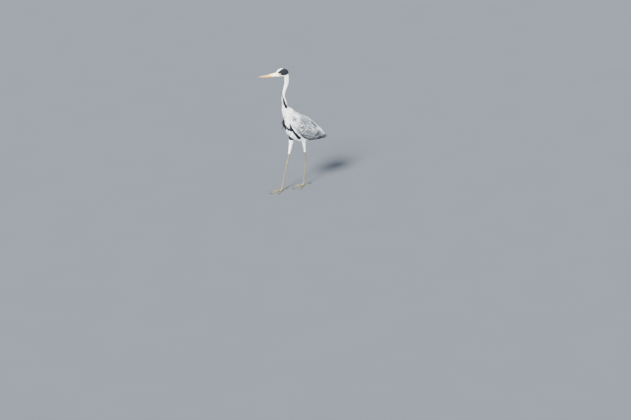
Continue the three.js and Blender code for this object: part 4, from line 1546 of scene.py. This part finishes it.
def limb_lines(side):
    """The lines that a leg's scales follow, each with the distance between the borders of its plates."""
    feathers, ankle, foot = (world_of(*map(float, LEGS[side][key])) for key in ("feathers", "ankle", "foot"))
    lines = [(feathers, ankle, 4.6), (ankle, foot, 5.4)]
    ground = foot * [1, 1, 0] + [0, 0, 0.003]
    return lines + [(ground, ground + toe_way(side, turn) * length, 2.7) for turn, length, _ in TOES.values()]


def scaled_leg(side):
    """The bare part of one leg as one skin, and the names of the solids it stands for."""
    names = [f"shank_{side}", f"tarsus_{side}"] + [f"toe_{toe}_{side}" for toe in TOES]
    leg = Surface(remeshed(swollen(names, swell=0.0003), voxel=0.0008, smoothing=4))
    best, borders = np.full(len(leg.points), 1.0), np.zeros(len(leg.points))
    for number, (start, end, period) in enumerate(limb_lines(side)):
        length = np.linalg.norm(end - start)
        way = (end - start) / length
        share = np.clip((leg.points - start) @ way, 0, length)
        gap = np.linalg.norm(leg.points - start - share[:, None] * way, axis=1)
        facing = leg.normals @ np.array([0, -1.0, 0] if number < 2 else [0, 0, 1.0])  # front or top
        border = hump((share / MM / period + 0.5) % 1, 0.5, 0.1) * between(facing, 0.0, 0.5)
        borders = np.where(gap < best, border, borders)
        best = np.minimum(gap, best)
    leg.points = leg.points - leg.normals * (borders * PLATE_GROOVE * MM)[:, None]
    leg.points[:, 2] = np.maximum(leg.points[:, 2], 0.0)
    mesh = smooth_shaded(mesh_of(f"leg_{side}", leg.points, leg.faces.tolist()))
    give(mesh, border=borders)
    return mesh, names


leg_finish, tree, shader = new_material("scaly leg skin", 0.55, specular=0.4)
cells = add_node(tree, "ShaderNodeTexVoronoi", {"Vector": object_place(tree), "Scale": 620.0},
                 feature="DISTANCE_TO_EDGE").outputs["Distance"]
cracks = ramp(tree, cells, 0.0, 0.12)
patches = ramp(tree, noise(tree, 120.0, 4.0), 0.35, 0.65)
colour = mixed(tree, patches, (0.075, 0.062, 0.034), (0.135, 0.115, 0.066))
crack_depth = times(tree, maths(tree, "SUBTRACT", 1.0, cracks), 0.5)
colour = mixed(tree, crack_depth, colour, (0.025, 0.02, 0.012))
borders = times(tree, attribute(tree, "border"), 0.75)
coloured(tree, shader, mixed(tree, borders, colour, (0.02, 0.016, 0.009)))
plug(tree, shader.inputs["Roughness"], ramp(tree, patches, 0.0, 1.0, 0.45, 0.65))
bumped(tree, shader, cracks, 0.45, 0.0004)
for side in LEGS:
    mesh, names = scaled_leg(side)
    print(mesh.name, len(mesh.polygons), "triangles")
    show(mesh.name, mesh, leg_finish, names)

# %% [markdown]
# The claws are dark horn, slightly curved, and rest on the ground with their tips. The hind one is longest.

# %% Claws
CLAW_LENGTHS = {"middle": 13, "outer": 10, "inner": 12, "hind": 19}
CLAW_RINGS = 14
CLAW_BED = 0.607  # height of a claw's root, as a share of its toe's thickness
UPWARD = np.array([0, 0, 1.0])
claw_finish, tree, shader = new_material("claw horn", 0.44, specular=0.35)
layers = noise(tree, 500.0, 3.0)
coloured(tree, shader, mixed(tree, layers, (0.008, 0.007, 0.006), (0.03, 0.025, 0.019)))
bumped(tree, shader, layers, 0.2, 0.0002)


def claw(side, toe):
    turn, length, thick = TOES[toe]
    way = toe_way(side, turn)
    bed = world_of(*map(float, LEGS[side]["foot"])) * [1, 1, 0] + way * (length - 4)
    turns = np.linspace(0, 2 * np.pi, 14, endpoint=False)[:, None]
    outward = 0.8 * np.cos(turns) * unit(np.cross(way, UPWARD)) + 0.95 * np.sin(turns) * UPWARD
    rings = []
    for share in np.linspace(0, 1, CLAW_RINGS):
        radius = 2.35 * (1 - share) ** 0.8 + 0.3
        lift = max(CLAW_BED * thick + 0.4 + 2.4 * share - 4.3 * share**2, radius * 0.9)
        middle = bed + way * (CLAW_LENGTHS[toe] + 2) * share + lift * MM * UPWARD
        rings.append(middle + radius * MM * outward)
    return lofted("claw", np.array(rings))


def joined(name, meshes):
    """Several meshes as one."""
    whole = bmesh.new()
    for mesh in meshes:
        whole.from_mesh(mesh)
    made = bpy.data.meshes.new(name)
    whole.to_mesh(made)
    whole.free()
    return smooth_shaded(made)


for side in LEGS:
    claws = joined(f"claws_{side}", [claw(side, toe) for toe in TOES])
    show(claws.name, claws, claw_finish, [f"claw_{toe}_{side}" for toe in TOES])
